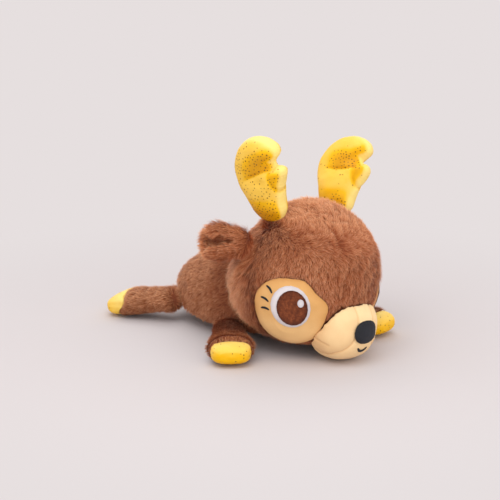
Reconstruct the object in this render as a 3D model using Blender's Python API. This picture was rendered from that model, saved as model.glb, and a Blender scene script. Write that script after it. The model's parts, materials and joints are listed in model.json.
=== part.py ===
"""A plush deer that lies on its belly: a big round head, foil antlers and four splayed legs.

Metres, +Z up. The toy faces -Y and its right side is at -X. It is modelled about a point on the
floor under the middle of the head, and the whole toy is then set with its middle at the origin.
The head's own pieces are modelled about the head's middle, upright, and the head is tilted as one.
Every stuffed piece is a loft: rings of points about an axis, closed at both ends.
"""

import math

import bmesh
import bpy
from mathutils import Vector

# Fits
SEWN_GAP = 0.0003  # between two pieces that are sewn together or lie on each other
REST_CUT = 0.0005  # depth of the flat that the floor presses into each soft form
CUT_OVERRUN = 0.02  # how far a cutting shape runs past what it cuts

# Head
HEAD_RADIUS = 0.0585
CROWN_RISE = 0.0042  # extra fullness above the forehead, between the antlers
HEAD_TURN = math.radians(4.5)  # toward the toy's left
HEAD_ROLL = math.radians(7)  # right cheek up
GUSSET_HALF_WIDTH = 0.0195
GUSSET_NARROWING = 0.0045  # how much each side of the gusset comes in toward the muzzle
SEAM_DEPTH = 0.0012
SEAM_WIDTH = 0.0045

# Body
BODY_TUCK = 0.0525  # how far its front runs in under the back of the head
BODY_LENGTH = 0.139
BODY_HALF_WIDTH = 0.045
BODY_HEIGHT = 0.089
BODY_WIDEST_HEIGHT = 0.024
BODY_RUMP_DROP = 0.026  # how much lower the rump lies than the shoulders
BODY_POWER = 2.35  # how square its section is: 2 is an oval

# Muzzle
MUZZLE_BELOW = math.radians(37.3)  # its direction from the middle of the head, off straight ahead
MUZZLE_SINK = 0.0082  # its middle, inside the head's surface
MUZZLE_HALF_WIDTH = 0.0275
MUZZLE_LENGTH = 0.0255  # from its middle to the tip
MUZZLE_HALF_HEIGHT = 0.0265
MUZZLE_POWER = 2.45  # how square it is
BRIDGE_HALF_WIDTH = 0.018  # of the top panel where it meets the plush
BRIDGE_NOSE_HALF_WIDTH = 0.0085  # of the top panel at the nose
MUZZLE_SEAM_DEPTH = 0.0008

# Nose and mouth
NOSE_WIDTH = 0.0248
NOSE_HEIGHT = 0.0185
NOSE_THICKNESS = 0.003
NOSE_DROP = 0.0010  # the nose's middle, below the middle of the muzzle
MOUTH_WIDTH = 0.0105
MOUTH_SAG = 0.0036
MOUTH_DROP = 0.0152  # the smile's ends, below the middle of the muzzle
MOUTH_THREAD_WIDTH = 0.0023
THREAD_WIDTH = 0.0014
THREAD_HEIGHT = 0.0008

# Eyes: each is placed by its direction from the middle of the head
EYE_AROUND = math.radians(59.5)  # from straight ahead, toward the side
EYE_BELOW = math.radians(15.5)
PATCH_CHEEK = 0.0042  # along the cheek from its foremost point to the line of the muzzle's side
PATCH_FRONT = HEAD_RADIUS * EYE_AROUND - MUZZLE_HALF_WIDTH - PATCH_CHEEK
PATCH_REAR = 0.036
PATCH_TOP = 0.0245
PATCH_BOTTOM = 0.0465
PATCH_THICKNESS = 0.0015
PATCH_SINK = 0.0002  # the patch's face lies this far under the plush
WHITE_HALF_WIDTH = 0.0163
WHITE_HALF_HEIGHT = 0.0185
WHITE_THICKNESS = 0.0008
IRIS_HALF_WIDTH = 0.0122
IRIS_HALF_HEIGHT = 0.015
IRIS_FORWARD = 0.0018  # the iris sits toward the front of the white
IRIS_THICKNESS = 0.0008
GLINT_HALF_WIDTH = 0.0025
GLINT_HALF_HEIGHT = 0.0032
GLINT_FORWARD = 0.0083
GLINT_UP = 0.0056
GLINT_THICKNESS = 0.0006
LASH_LENGTH = 0.0075
LASH_CURL = 0.0008
LASH_REACH = 0.0225  # the middle of each lash, from the middle of the eye
LASH_TURNS = (math.radians(34), math.radians(8), math.radians(-14))  # round the eye, from the back
LASH_LEANS = (math.radians(42), math.radians(16), math.radians(-4))  # how steeply each one lies

# Ears
EAR_AROUND = math.radians(110)  # from straight ahead, toward the side
EAR_ABOVE = math.radians(24.5)
EAR_LENGTH = 0.0366
EAR_HALF_HEIGHT = 0.0160
EAR_HALF_THICKNESS = 0.0088
EAR_FOLD_DEPTH = 0.0068
EAR_ROOT_RADIUS = 0.0065
EAR_ROOT_HALF_LENGTH = 0.0115
EAR_SEAT = 0.0059  # its hinge, outside the head's surface
EAR_TURN_OUT = math.radians(40)  # its lie, from straight back toward the side
EAR_DROOP = math.radians(2)

# Antlers
ANTLER_OUT = math.radians(36)  # its root's direction from the middle of the head, off straight up
ANTLER_BEHIND = math.radians(8.4)
ANTLER_HEIGHT = 0.062
ANTLER_HALF_WIDTH = 0.0250
ANTLER_HALF_THICKNESS = 0.0105
ANTLER_ROUNDING = 0.011  # how far in from the edge the antler reaches its full thickness
ANTLER_LEAN = math.radians(20)  # outward
ANTLER_RAKE = math.radians(4.5)  # backward
ANTLER_ROOT_HALF_WIDTH = 0.0150
ANTLER_ROOT_RADIUS = 0.008
ANTLER_SEAT = 0.0048

# Legs: each runs from its hinge at the body to its hoof
LEG_ROOT_HALF_WIDTH = 0.0135
LEG_ROOT_HALF_HEIGHT = 0.0104
LEG_END_HALF_WIDTH = 0.0178
LEG_END_HALF_HEIGHT = 0.0116
FRONT_ROOT_HEIGHT = 0.013
HIND_ROOT_HEIGHT = 0.0185
HIND_ROOT_INSET = 0.0188  # ahead of the rump's end
HIND_SEAT = 0.0071  # its hinge, outside the body's side
HIND_FOOT_OUT = 0.0197  # from its root to its foot
HIND_FOOT_BACK = 0.0398
RIGHT_ROOT_INSET = 0.0365  # behind the body's front end
RIGHT_SEAT = 0.009
RIGHT_FOOT_OUT = 0.0297
RIGHT_FOOT_AHEAD = 0.038
LEFT_ROOT_INSET = 0.031
LEFT_SEAT = 0.0157
LEFT_FOOT_OUT = 0.013
LEFT_FOOT_AHEAD = 0.0535
HOOF_LENGTH = 0.0135
HOOF_DROP = 0.0008  # how far its middle lies below the leg's middle
HOOF_WIDTH_SHARE = 0.9
HOOF_HEIGHT_SHARE = 0.74
HOOF_POWER = 3.0  # how square its oval is

# Facets: how many points go round, and how many rings along, each form
HEAD_ROUND = 44
HEAD_GUSSET_RINGS = 5
HEAD_SIDE_RINGS = 8
BODY_ROUND = 32
BODY_RINGS = 18
MUZZLE_ROUND = 28
MUZZLE_SIDE_RINGS = 5
LIMB_ROUND = 16
SMALL_ROUND = 20

RIGHT = -1
LEFT = 1
SIDE_NAMES = {RIGHT: "right", LEFT: "left"}

ACROSS = Vector((1, 0, 0))
BACK = Vector((0, 1, 0))
UP = Vector((0, 0, 1))
MIDDLE = Vector((0, 0, 0))
HEAD_PLACE = Vector((0, 0, HEAD_RADIUS - REST_CUT))
MUZZLE_WAY = Vector((0, -math.cos(MUZZLE_BELOW), -math.sin(MUZZLE_BELOW)))
MUZZLE_PLACE = MUZZLE_WAY * (HEAD_RADIUS - MUZZLE_SINK)
BODY_START = HEAD_RADIUS - BODY_TUCK

FINISHES = {
    "plush": ((0.27, 0.085, 0.033, 1.0), 0.95),
    "velour": ((0.75, 0.47, 0.21, 1.0), 0.85),
    "cream": ((0.86, 0.62, 0.33, 1.0), 0.85),
    "foil_cloth": ((0.87, 0.53, 0.03, 1.0), 0.5),
    "navy_thread": ((0.02, 0.021, 0.03, 1.0), 0.6),
    "white_satin": ((0.74, 0.7, 0.72, 1.0), 0.55),
    "velvet": ((0.15, 0.035, 0.014, 1.0), 0.9),
}

# The eye patch's edge, from the back over the top: shares of its reach back or forward and up or down
PATCH_SHARES = (
    (1.0, -0.06),
    (0.9, 0.36),
    (0.66, 0.74),
    (0.34, 0.96),
    (0.0, 1.0),
    (-0.36, 0.97),
    (-0.6, 0.7),
    (-0.82, 0.36),
    (-1.0, 0.02),
    (-0.94, -0.2),
    (-0.82, -0.42),
    (-0.7, -0.66),
    (-0.46, -0.88),
    (-0.02, -1.0),
    (0.38, -0.98),
    (0.72, -0.82),
    (0.94, -0.48),
)

# The antler's edge, like a mitten: shares forward of its half width and up of its height
ANTLER_SHARES = (
    (0.6, -0.02),
    (0.65, 0.13),
    (0.73, 0.29),
    (0.87, 0.44),
    (1.0, 0.56),
    (0.84, 0.64),
    (0.5, 0.65),
    (0.7, 0.72),
    (0.86, 0.81),
    (0.72, 0.93),
    (0.3, 1.0),
    (-0.22, 0.985),
    (-0.7, 0.86),
    (-0.98, 0.66),
    (-1.0, 0.46),
    (-0.84, 0.25),
    (-0.64, 0.08),
    (-0.56, -0.02),
    (0.0, -0.08),
)
ANTLER_MIDDLE_SHARE = (-0.06, 0.53)

# The ear along its length: shares of its length, of its full height and of its full thickness
EAR_SHARES = (
    (0.0, 0.7, 0.76),
    (0.1, 0.74, 0.88),
    (0.22, 0.84, 0.98),
    (0.36, 0.95, 1.0),
    (0.52, 1.0, 1.0),
    (0.68, 0.96, 0.92),
    (0.82, 0.82, 0.76),
    (0.93, 0.58, 0.52),
)


def clear_scene():
    for obj in list(bpy.data.objects):
        bpy.data.objects.remove(obj, do_unlink=True)


def material(name):
    """The named finish, made once."""
    made = bpy.data.materials.get(name)
    if made is None:
        colour, roughness = FINISHES[name]
        made = bpy.data.materials.new(name)
        made.use_nodes = True
        shader = made.node_tree.nodes["Principled BSDF"]
        shader.inputs["Base Color"].default_value = colour
        shader.inputs["Roughness"].default_value = roughness
        shader.inputs["Metallic"].default_value = 0.0
        made.diffuse_color = colour
    return made


def mix(a, b, share):
    return a + (b - a) * share


def smooth(share):
    """Eases a share of 0 to 1 at both ends."""
    share = min(max(share, 0.0), 1.0)
    return share * share * (3 - 2 * share)


def turned(share, power=2.0):
    """The cosine and sine of a share of a full turn, squared off where the power is over 2."""
    angle = share * math.tau
    c = math.cos(angle)
    s = math.sin(angle)
    return (
        math.copysign(abs(c) ** (2 / power), c),
        math.copysign(abs(s) ** (2 / power), s),
    )


def ring(centre, side, up, half_side, half_up, count, power=2.0):
    """An oval of points about a centre, in the plane of the two axes."""
    points = []
    for index in range(count):
        c, s = turned(index / count, power)
        points.append(centre + side * (half_side * c) + up * (half_up * s))
    return points


def smooth_outline(corners, steps):
    """A closed curve that runs evenly through flat corner points, with steps to each."""
    points = []
    count = len(corners)
    for index in range(count):
        before, here, after, beyond = (Vector(corners[(index + k) % count]) for k in (-1, 0, 1, 2))
        for step in range(steps):
            t = step / steps
            pull_out = here * 2 + (after - before) * t
            bend = (before * 2 - here * 5 + after * 4 - beyond) * t**2
            settle = (here * 3 - before - after * 3 + beyond) * t**3
            points.append((pull_out + bend + settle) / 2)
    return points


def edge_distance(point, outline):
    """How far a flat point lies from the nearest edge of a closed outline."""
    nearest = []
    for start, end in zip(outline, outline[1:] + outline[:1]):
        along = end - start
        share = (point - start).dot(along) / along.length_squared
        nearest.append((point - start - along * min(max(share, 0.0), 1.0)).length)
    return min(nearest)


def link(obj, carrier, helper):
    obj.parent = carrier
    bpy.context.scene.collection.objects.link(obj)
    if helper:
        obj.hide_render = True
        obj.display_type = "WIRE"
    return obj


def loft(name, start, rings, end, finish, origin=MIDDLE, carrier=None, helper=False):
    """A closed solid through the rings, from a start point to an end point.

    The points and the object's own origin are in its carrier's frame, or the toy's if it has none.
    """
    shape = bmesh.new()
    rows = [[shape.verts.new(p - origin) for p in points] for points in rings]
    first = shape.verts.new(start - origin)
    last = shape.verts.new(end - origin)
    count = len(rows[0])
    for index in range(count):
        after = (index + 1) % count
        shape.faces.new((first, rows[0][after], rows[0][index]))
        shape.faces.new((last, rows[-1][index], rows[-1][after]))
        for low, high in zip(rows, rows[1:]):
            shape.faces.new((low[index], low[after], high[after], high[index]))
    bmesh.ops.recalc_face_normals(shape, faces=shape.faces)
    mesh = bpy.data.meshes.new(name)
    shape.to_mesh(mesh)
    shape.free()
    mesh.shade_smooth()
    mesh.materials.append(material(finish))
    obj = bpy.data.objects.new(name, mesh)
    obj.location = origin
    return link(obj, carrier, helper)


def combine(obj, other, operation):
    """Adds a Boolean of two closed shapes that stays on the object."""
    modifier = obj.modifiers.new(f"{operation.lower()} {other.name}", "BOOLEAN")
    modifier.operation = operation
    modifier.solver = "EXACT"
    modifier.object = other


def make_floor():
    """The block under the floor that presses a flat into every soft form."""
    reach = (HEAD_RADIUS + BODY_START + BODY_LENGTH) * 2
    shape = bmesh.new()
    bmesh.ops.create_cube(shape, size=1.0)
    bmesh.ops.scale(shape, vec=(reach, reach, CUT_OVERRUN), verts=shape.verts)
    bmesh.ops.translate(shape, vec=(0, 0, -CUT_OVERRUN / 2), verts=shape.verts)
    mesh = bpy.data.meshes.new("floor_cut")
    shape.to_mesh(mesh)
    shape.free()
    return link(bpy.data.objects.new("floor_cut", mesh), None, helper=True)


def make_neck():
    """The unseen frame at the middle of the head, which the head hinges on and is tilted by."""
    neck = bpy.data.objects.new("neck", None)
    neck.location = HEAD_PLACE
    neck.rotation_euler = (0, HEAD_ROLL, HEAD_TURN)
    neck.empty_display_size = HEAD_RADIUS / 2
    bpy.context.scene.collection.objects.link(neck)
    return neck


# Head


def head_reach(direction):
    """How far the plush lies from the middle of the head in a direction."""
    crown = Vector((0, -1, math.sqrt(3))).normalized().dot(direction)
    return HEAD_RADIUS + CROWN_RISE * smooth((crown - 0.3) / 0.7)


def gusset_latitude(angle):
    """The latitude of the gusset's edge at an angle about the line between the cheeks."""
    near = smooth(MUZZLE_WAY.dot(Vector((0, math.cos(angle), math.sin(angle)))))
    return math.asin((GUSSET_HALF_WIDTH - GUSSET_NARROWING * near) / HEAD_RADIUS)


def seam_shares(gusset_rings, side_rings, seam_width_share):
    """Ring places from cheek to cheek: 0 to 1 in the middle panel, 1 to 2 in a side panel."""
    half = gusset_rings // 2
    inner = [k / (half + 1) for k in range(1, half + 1)]
    inner.append(1 - seam_width_share)
    outer = [1 + seam_width_share]
    outer += [1 + k / (side_rings + 1) for k in range(1, side_rings + 1)]
    shares = sorted(inner + [1.0] + outer)
    return [-share for share in reversed(shares)] + [0.0] + shares


def panelled_rings(shares, count, edge_latitude, point):
    """Rings between the cheeks whose seams follow the middle panel's edge."""
    rings = []
    for share in shares:
        points = []
        for index in range(count):
            angle = index / count * math.tau
            edge = edge_latitude(angle)
            if abs(share) <= 1:
                latitude = edge * share
            else:
                latitude = math.copysign(mix(edge, math.pi / 2, abs(share) - 1), share)
            direction = Vector(
                (
                    math.sin(latitude),
                    math.cos(latitude) * math.cos(angle),
                    math.cos(latitude) * math.sin(angle),
                )
            )
            points.append(point(direction, abs(share) == 1.0))
        rings.append(points)
    return rings


def head_form(name, neck, grow=0.0, seam_depth=SEAM_DEPTH, helper=False):
    """The head's round form, with its two gusset seams pulled in."""
    seam_width_share = SEAM_WIDTH / 2 / GUSSET_HALF_WIDTH

    def point(direction, on_seam):
        return direction * (head_reach(direction) + grow - (seam_depth if on_seam else 0))

    rings = panelled_rings(
        seam_shares(HEAD_GUSSET_RINGS, HEAD_SIDE_RINGS, seam_width_share),
        HEAD_ROUND,
        gusset_latitude,
        point,
    )
    return loft(
        name, point(-ACROSS, False), rings, point(ACROSS, False), "plush", MIDDLE, neck, helper
    )


class Spot:
    """A place on the head, with axes along its surface: p toward the back, q upward."""

    def __init__(self, side, around, above):
        flat = Vector((side * math.sin(around), -math.cos(around), 0))
        self.out = flat * math.cos(above) + UP * math.sin(above)
        self.up = (UP - self.out * self.out.z).normalized()
        self.back = self.out.cross(self.up) * -side

    def point(self, p, q, lift):
        """The point over p, q on the head, this far outside its surface."""
        direction = (self.out * HEAD_RADIUS + self.back * p + self.up * q).normalized()
        return direction * (head_reach(direction) + lift)


def oval(p, q, half_p, half_q, count=SMALL_ROUND):
    points = []
    for index in range(count):
        c, s = turned(index / count)
        points.append(Vector((p + half_p * c, q + half_q * s)))
    return points


def middle_of(outline):
    return sum(outline, Vector((0, 0))) / len(outline)


def grown(outline, by):
    """The outline moved outward from its middle by a length."""
    middle = middle_of(outline)
    return [p + (p - middle).normalized() * by for p in outline]


def patch_outline():
    points = []
    for back_share, up_share in PATCH_SHARES:
        reach = PATCH_REAR if back_share > 0 else PATCH_FRONT
        rise = PATCH_TOP if up_share > 0 else PATCH_BOTTOM
        points.append((reach * back_share, rise * up_share))
    return smooth_outline(points, 2)


def layer(name, spot, outline, low, high, finish, neck, helper=False):
    """A thin closed piece over an outline on the head, between two heights over its surface."""
    middle = middle_of(outline)
    shares = (0.4, 0.72, 1.0)

    def row(share, lift):
        return [spot.point(*middle.lerp(p, share), lift) for p in outline]

    rings = [row(share, low) for share in shares]
    rings += [row(share, high) for share in reversed(shares)]
    start = spot.point(*middle, low)
    end = spot.point(*middle, high)
    return loft(name, start, rings, end, finish, MIDDLE, neck, helper)


def thread(name, points, normals, width, neck):
    """A satin-stitched stroke through the points: a flat oval bar that thins at its ends."""
    rings = []
    last = len(points) - 1
    for index, (point, normal) in enumerate(zip(points, normals)):
        along = (points[min(index + 1, last)] - points[max(index - 1, 0)]).normalized()
        across = along.cross(normal).normalized()
        fullness = mix(0.55, 1.0, math.sin(math.pi * index / last))
        half_width = width / 2 * fullness
        half_height = THREAD_HEIGHT / 2 * fullness
        rings.append(ring(point, across, normal, half_width, half_height, LIMB_ROUND // 2))
    start = points[0] - (points[1] - points[0]).normalized() * (width / 4)
    end = points[-1] + (points[-1] - points[-2]).normalized() * (width / 4)
    return loft(name, start, rings, end, "navy_thread", MIDDLE, neck)


def make_lash(name, spot, turn, lean, lift, neck):
    middle = Vector((math.cos(turn), math.sin(turn))) * LASH_REACH
    along = Vector((math.cos(lean), math.sin(lean)))
    points = []
    for share in (-0.5, -0.25, 0.0, 0.25, 0.5):
        bow = LASH_CURL * (1 - 4 * share * share)
        p = middle.x + along.x * LASH_LENGTH * share - along.y * bow
        q = middle.y + along.y * LASH_LENGTH * share + along.x * bow
        points.append(spot.point(p, q, lift))
    return thread(name, points, [p.normalized() for p in points], THREAD_WIDTH, neck)


def make_eye(side, head, neck):
    """The sunk patch of one side with its eye and lashes, each layer a gap over the one below."""
    name = SIDE_NAMES[side]
    spot = Spot(side, EYE_AROUND, -EYE_BELOW)
    outline = patch_outline()
    top = -PATCH_SINK
    low = top - PATCH_THICKNESS
    edge = grown(outline, SEWN_GAP)
    recess = layer(
        f"recess_{name}", spot, edge, low - SEWN_GAP, CUT_OVERRUN, "plush", neck, helper=True
    )
    combine(head, recess, "DIFFERENCE")
    pieces = [layer(f"eye_patch_{name}", spot, outline, low, top, "velour", neck)]
    white = oval(0, 0, WHITE_HALF_WIDTH, WHITE_HALF_HEIGHT)
    iris = oval(-IRIS_FORWARD, 0, IRIS_HALF_WIDTH, IRIS_HALF_HEIGHT)
    glint = oval(-GLINT_FORWARD, GLINT_UP, GLINT_HALF_WIDTH, GLINT_HALF_HEIGHT, LIMB_ROUND)
    low = top + SEWN_GAP
    for piece, shape, thickness, finish in (
        ("eye_white", white, WHITE_THICKNESS, "white_satin"),
        ("iris", iris, IRIS_THICKNESS, "velvet"),
        ("glint", glint, GLINT_THICKNESS, "white_satin"),
    ):
        pieces.append(layer(f"{piece}_{name}", spot, shape, low, low + thickness, finish, neck))
        low += thickness + SEWN_GAP
    lift = top + SEWN_GAP + THREAD_HEIGHT / 2
    for number, (turn, lean) in enumerate(zip(LASH_TURNS, LASH_LEANS), 1):
        pieces.append(make_lash(f"lash_{name}_{number}", spot, turn, lean, lift, neck))
    return pieces


# Muzzle


def muzzle_point(direction, lift):
    """The point of the muzzle's surface in a direction from its middle, and this far outside it."""
    power = MUZZLE_POWER
    size = (
        abs(direction.x / MUZZLE_HALF_WIDTH) ** power
        + abs(direction.y / MUZZLE_LENGTH) ** power
        + abs(direction.z / MUZZLE_HALF_HEIGHT) ** power
    )
    return MUZZLE_PLACE + direction * (size ** (-1 / power) + lift)


def bridge_latitude(angle):
    """The latitude of the top panel's edge: wide at the plush, narrow at the nose and the chin."""
    near = smooth(-math.cos(angle + math.radians(30)))
    half_width = mix(BRIDGE_HALF_WIDTH, BRIDGE_NOSE_HALF_WIDTH, near)
    return math.asin(half_width / MUZZLE_HALF_WIDTH)


def make_muzzle(neck, head_clearance):
    def point(direction, on_seam):
        return muzzle_point(direction, -MUZZLE_SEAM_DEPTH if on_seam else 0)

    rings = panelled_rings(
        seam_shares(3, MUZZLE_SIDE_RINGS, 0.2), MUZZLE_ROUND, bridge_latitude, point
    )
    muzzle = loft(
        "muzzle",
        muzzle_point(-ACROSS, 0),
        rings,
        muzzle_point(ACROSS, 0),
        "cream",
        MIDDLE,
        neck,
    )
    combine(muzzle, head_clearance, "DIFFERENCE")
    return muzzle


def on_muzzle(x, z, lift):
    """The point of the muzzle's front at x across and z over its middle."""
    return muzzle_point(Vector((x, -MUZZLE_LENGTH, z)).normalized(), lift)


def make_nose(neck):
    shares = (0.35, 0.7, 1.0)

    def row(share, lift):
        points = []
        for index in range(SMALL_ROUND):
            c, s = turned(index / SMALL_ROUND, 2.3)
            x = NOSE_WIDTH / 2 * share * c
            points.append(on_muzzle(x, NOSE_HEIGHT / 2 * share * s - NOSE_DROP, lift))
        return points

    rings = [row(share, SEWN_GAP) for share in shares]
    for share in reversed(shares):
        rise = NOSE_THICKNESS * mix(0.3, 1.0, math.sqrt(1 - share * share))
        rings.append(row(share, SEWN_GAP + rise))
    start = on_muzzle(0, -NOSE_DROP, SEWN_GAP)
    end = on_muzzle(0, -NOSE_DROP, SEWN_GAP + NOSE_THICKNESS)
    return loft("nose", start, rings, end, "navy_thread", MIDDLE, neck)


def make_mouth(neck):
    points = []
    for share in (-1.0, -0.75, -0.5, -0.25, 0.0, 0.25, 0.5, 0.75, 1.0):
        z = -MOUTH_DROP - MOUTH_SAG * (1 - share * share)
        points.append(on_muzzle(MOUTH_WIDTH / 2 * share, z, SEWN_GAP + THREAD_HEIGHT / 2))
    normals = [(p - MUZZLE_PLACE).normalized() for p in points]
    return thread("mouth", points, normals, MOUTH_THREAD_WIDTH, neck)


# Limbs


class Hinge:
    """A sewn seam that a limb bends at: its middle, the seam's line and the way the limb lies."""

    def __init__(self, place, seam, along, half_seam, radius):
        self.place = place
        self.seam = seam.normalized()
        self.along = along.normalized()
        self.across = self.seam.cross(self.along).normalized()
        self.half_seam = half_seam
        self.radius = radius

    def at(self, forward, up):
        """The point this far along the seam and this far out from it."""
        return self.place + self.seam * forward + self.along * up

    def round_rings(self, steps, count, grow=0.0):
        """Rings of the root's rounded half, from its inner tip up to the hinge."""
        rings = []
        for step in range(1, steps + 1):
            angle = math.pi / 2 * (step / steps - 1)
            centre = self.at(0, (self.radius + grow) * math.sin(angle))
            half_seam = (self.half_seam + grow) * math.cos(angle)
            half_depth = (self.radius + grow) * math.cos(angle)
            rings.append(ring(centre, self.seam, self.across, half_seam, half_depth, count))
        return rings

    def round_form(self, name, finish, carrier, steps, count, grow=0.0):
        """The whole rounded root, which turns about the seam without leaving its own space."""
        rings = self.round_rings(steps, count, grow)
        reach = self.radius + grow
        far = []
        for points in reversed(rings[:-1]):
            far.append([p - self.along * (2 * (p - self.place).dot(self.along)) for p in points])
        return loft(
            name,
            self.at(0, -reach),
            rings + far,
            self.at(0, reach),
            finish,
            self.place,
            carrier,
            helper=True,
        )

    def seat_in(self, larger, name, carrier):
        """Sinks the root's clearance into the larger piece that it is sewn to."""
        socket = self.round_form(f"{name}_socket", "plush", carrier, 5, LIMB_ROUND + 4, SEWN_GAP)
        combine(larger, socket, "DIFFERENCE")


def ear_hinge(side):
    spot = Spot(side, EAR_AROUND, EAR_ABOVE)
    out = Vector((side * math.sin(EAR_TURN_OUT), math.cos(EAR_TURN_OUT), 0))
    along = out * math.cos(EAR_DROOP) - UP * math.sin(EAR_DROOP)
    seam = UP - along * along.z
    place = spot.point(0, 0, EAR_SEAT)
    return Hinge(place, seam, along, EAR_ROOT_HALF_LENGTH, EAR_ROOT_RADIUS)


def make_ear(side, head, neck):
    """A leaf folded lengthwise, with its opening toward the toy's front and side."""
    name = f"ear_{SIDE_NAMES[side]}"
    hinge = ear_hinge(side)
    front = -1 if hinge.across.y > 0 else 1
    rings = hinge.round_rings(4, SMALL_ROUND)[:-1]
    for along_share, height_share, thickness_share in EAR_SHARES:
        fold = EAR_FOLD_DEPTH * smooth((along_share - 0.12) / 0.4)
        points = []
        for index in range(SMALL_ROUND):
            c, s = turned(index / SMALL_ROUND, 2.2)
            notch = fold * math.exp(-((c / 0.3) ** 2)) if front * s > 0 else 0
            rise = EAR_HALF_HEIGHT * height_share * c
            spread = EAR_HALF_THICKNESS * thickness_share * s - front * notch
            points.append(hinge.at(rise, EAR_LENGTH * along_share) + hinge.across * spread)
        rings.append(points)
    start = hinge.at(0, -EAR_ROOT_RADIUS)
    end = hinge.at(0, EAR_LENGTH)
    ear = loft(name, start, rings, end, "plush", hinge.place, neck)
    hinge.seat_in(head, name, neck)
    return ear


def antler_hinge(side):
    direction = Vector((side * math.sin(ANTLER_OUT), 0, math.cos(ANTLER_OUT)))
    direction = direction * math.cos(ANTLER_BEHIND) + BACK * math.sin(ANTLER_BEHIND)
    place = direction * (head_reach(direction) + ANTLER_SEAT)
    out = Vector((side * math.sin(ANTLER_LEAN), 0, math.cos(ANTLER_LEAN)))
    along = out * math.cos(ANTLER_RAKE) + BACK * math.sin(ANTLER_RAKE)
    seam = out * math.sin(ANTLER_RAKE) - BACK * math.cos(ANTLER_RAKE)
    return Hinge(place, seam, along, ANTLER_ROOT_HALF_WIDTH, ANTLER_ROOT_RADIUS)


def make_antler(side, head, neck):
    """Two mitten-shaped panels sewn round their edge and stuffed, with a thumb for the tine."""
    name = f"antler_{SIDE_NAMES[side]}"
    hinge = antler_hinge(side)
    corners = [(ANTLER_HALF_WIDTH * f, ANTLER_HEIGHT * u) for f, u in ANTLER_SHARES]
    edge = smooth_outline(corners, 2)
    forward_share, up_share = ANTLER_MIDDLE_SHARE
    middle = Vector((ANTLER_HALF_WIDTH * forward_share, ANTLER_HEIGHT * up_share))
    shares = (0.3, 0.55, 0.75, 0.88, 0.96)

    def row(share, face):
        points = []
        for corner in edge:
            flat = middle.lerp(corner, share)
            near = min(edge_distance(flat, edge) / ANTLER_ROUNDING, 1.0)
            swell = ANTLER_HALF_THICKNESS * math.sqrt(1 - (1 - near) ** 2)
            points.append(hinge.at(*flat) + hinge.across * (face * swell))
        return points

    rings = [row(share, -1) for share in shares]
    rings.append(row(1.0, 0))
    rings += [row(share, 1) for share in reversed(shares)]
    start = hinge.at(*middle) - hinge.across * ANTLER_HALF_THICKNESS
    end = hinge.at(*middle) + hinge.across * ANTLER_HALF_THICKNESS
    antler = loft(name, start, rings, end, "foil_cloth", hinge.place, neck)
    root = hinge.round_form(f"{name}_root", "foil_cloth", neck, 4, LIMB_ROUND)
    combine(antler, root, "UNION")
    hinge.seat_in(head, name, neck)
    return antler


class Leg:
    """A flat stuffed tube from its hinge at the body to the hoof that caps it."""

    def __init__(self, name, root, foot):
        self.name = name
        self.length = (foot - root).length
        along = foot - root
        seam = Vector((along.y, -along.x, 0))
        self.hinge = Hinge(root, seam, along, LEG_ROOT_HALF_WIDTH, LEG_ROOT_HALF_HEIGHT)

    def section(self, share, width_share=1.0, height_share=1.0, ahead=0.0, drop=0.0, power=2.4):
        """The leg's oval at a share of its length, or ahead of it, made smaller by the shares."""
        swell = smooth(share)
        return ring(
            self.hinge.at(0, self.length * share + ahead) - UP * drop,
            self.hinge.seam,
            self.hinge.across,
            mix(LEG_ROOT_HALF_WIDTH, LEG_END_HALF_WIDTH, swell) * width_share,
            mix(LEG_ROOT_HALF_HEIGHT, LEG_END_HALF_HEIGHT, swell) * height_share,
            LIMB_ROUND,
            mix(2.0, power, swell),
        )

    def make(self, body, floor):
        hinge = self.hinge
        rings = hinge.round_rings(4, LIMB_ROUND)[:-1]
        rings += [self.section(share) for share in (0.0, 0.2, 0.42, 0.65, 0.84, 0.95)]
        rings.append(self.section(1.0, 0.95, 0.92))
        start = hinge.at(0, -hinge.radius)
        end = hinge.at(0, self.length)
        leg = loft(f"leg_{self.name}", start, rings, end, "plush", hinge.place)
        combine(leg, floor, "DIFFERENCE")
        hinge.seat_in(body, leg.name, None)
        return [leg, self.make_hoof()]

    def make_hoof(self):
        """The cap over the end of the leg: a dome on a flat back."""
        rings = []
        for share in (0.0, 0.3, 0.6, 0.82, 0.95):
            shrink = math.sqrt(1 - share**2.4)
            width_share = HOOF_WIDTH_SHARE * mix(0.35, 1.0, shrink)
            height_share = HOOF_HEIGHT_SHARE * mix(0.2, 1.0, shrink)
            ahead = SEWN_GAP + HOOF_LENGTH * share
            oval_here = self.section(1.0, width_share, height_share, ahead, HOOF_DROP, HOOF_POWER)
            rings.append(oval_here)
        start = self.hinge.at(0, self.length + SEWN_GAP) - UP * HOOF_DROP
        end = self.hinge.at(0, self.length + SEWN_GAP + HOOF_LENGTH) - UP * HOOF_DROP
        return loft(f"hoof_{self.name}", start, rings, end, "foil_cloth", self.hinge.place)


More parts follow.
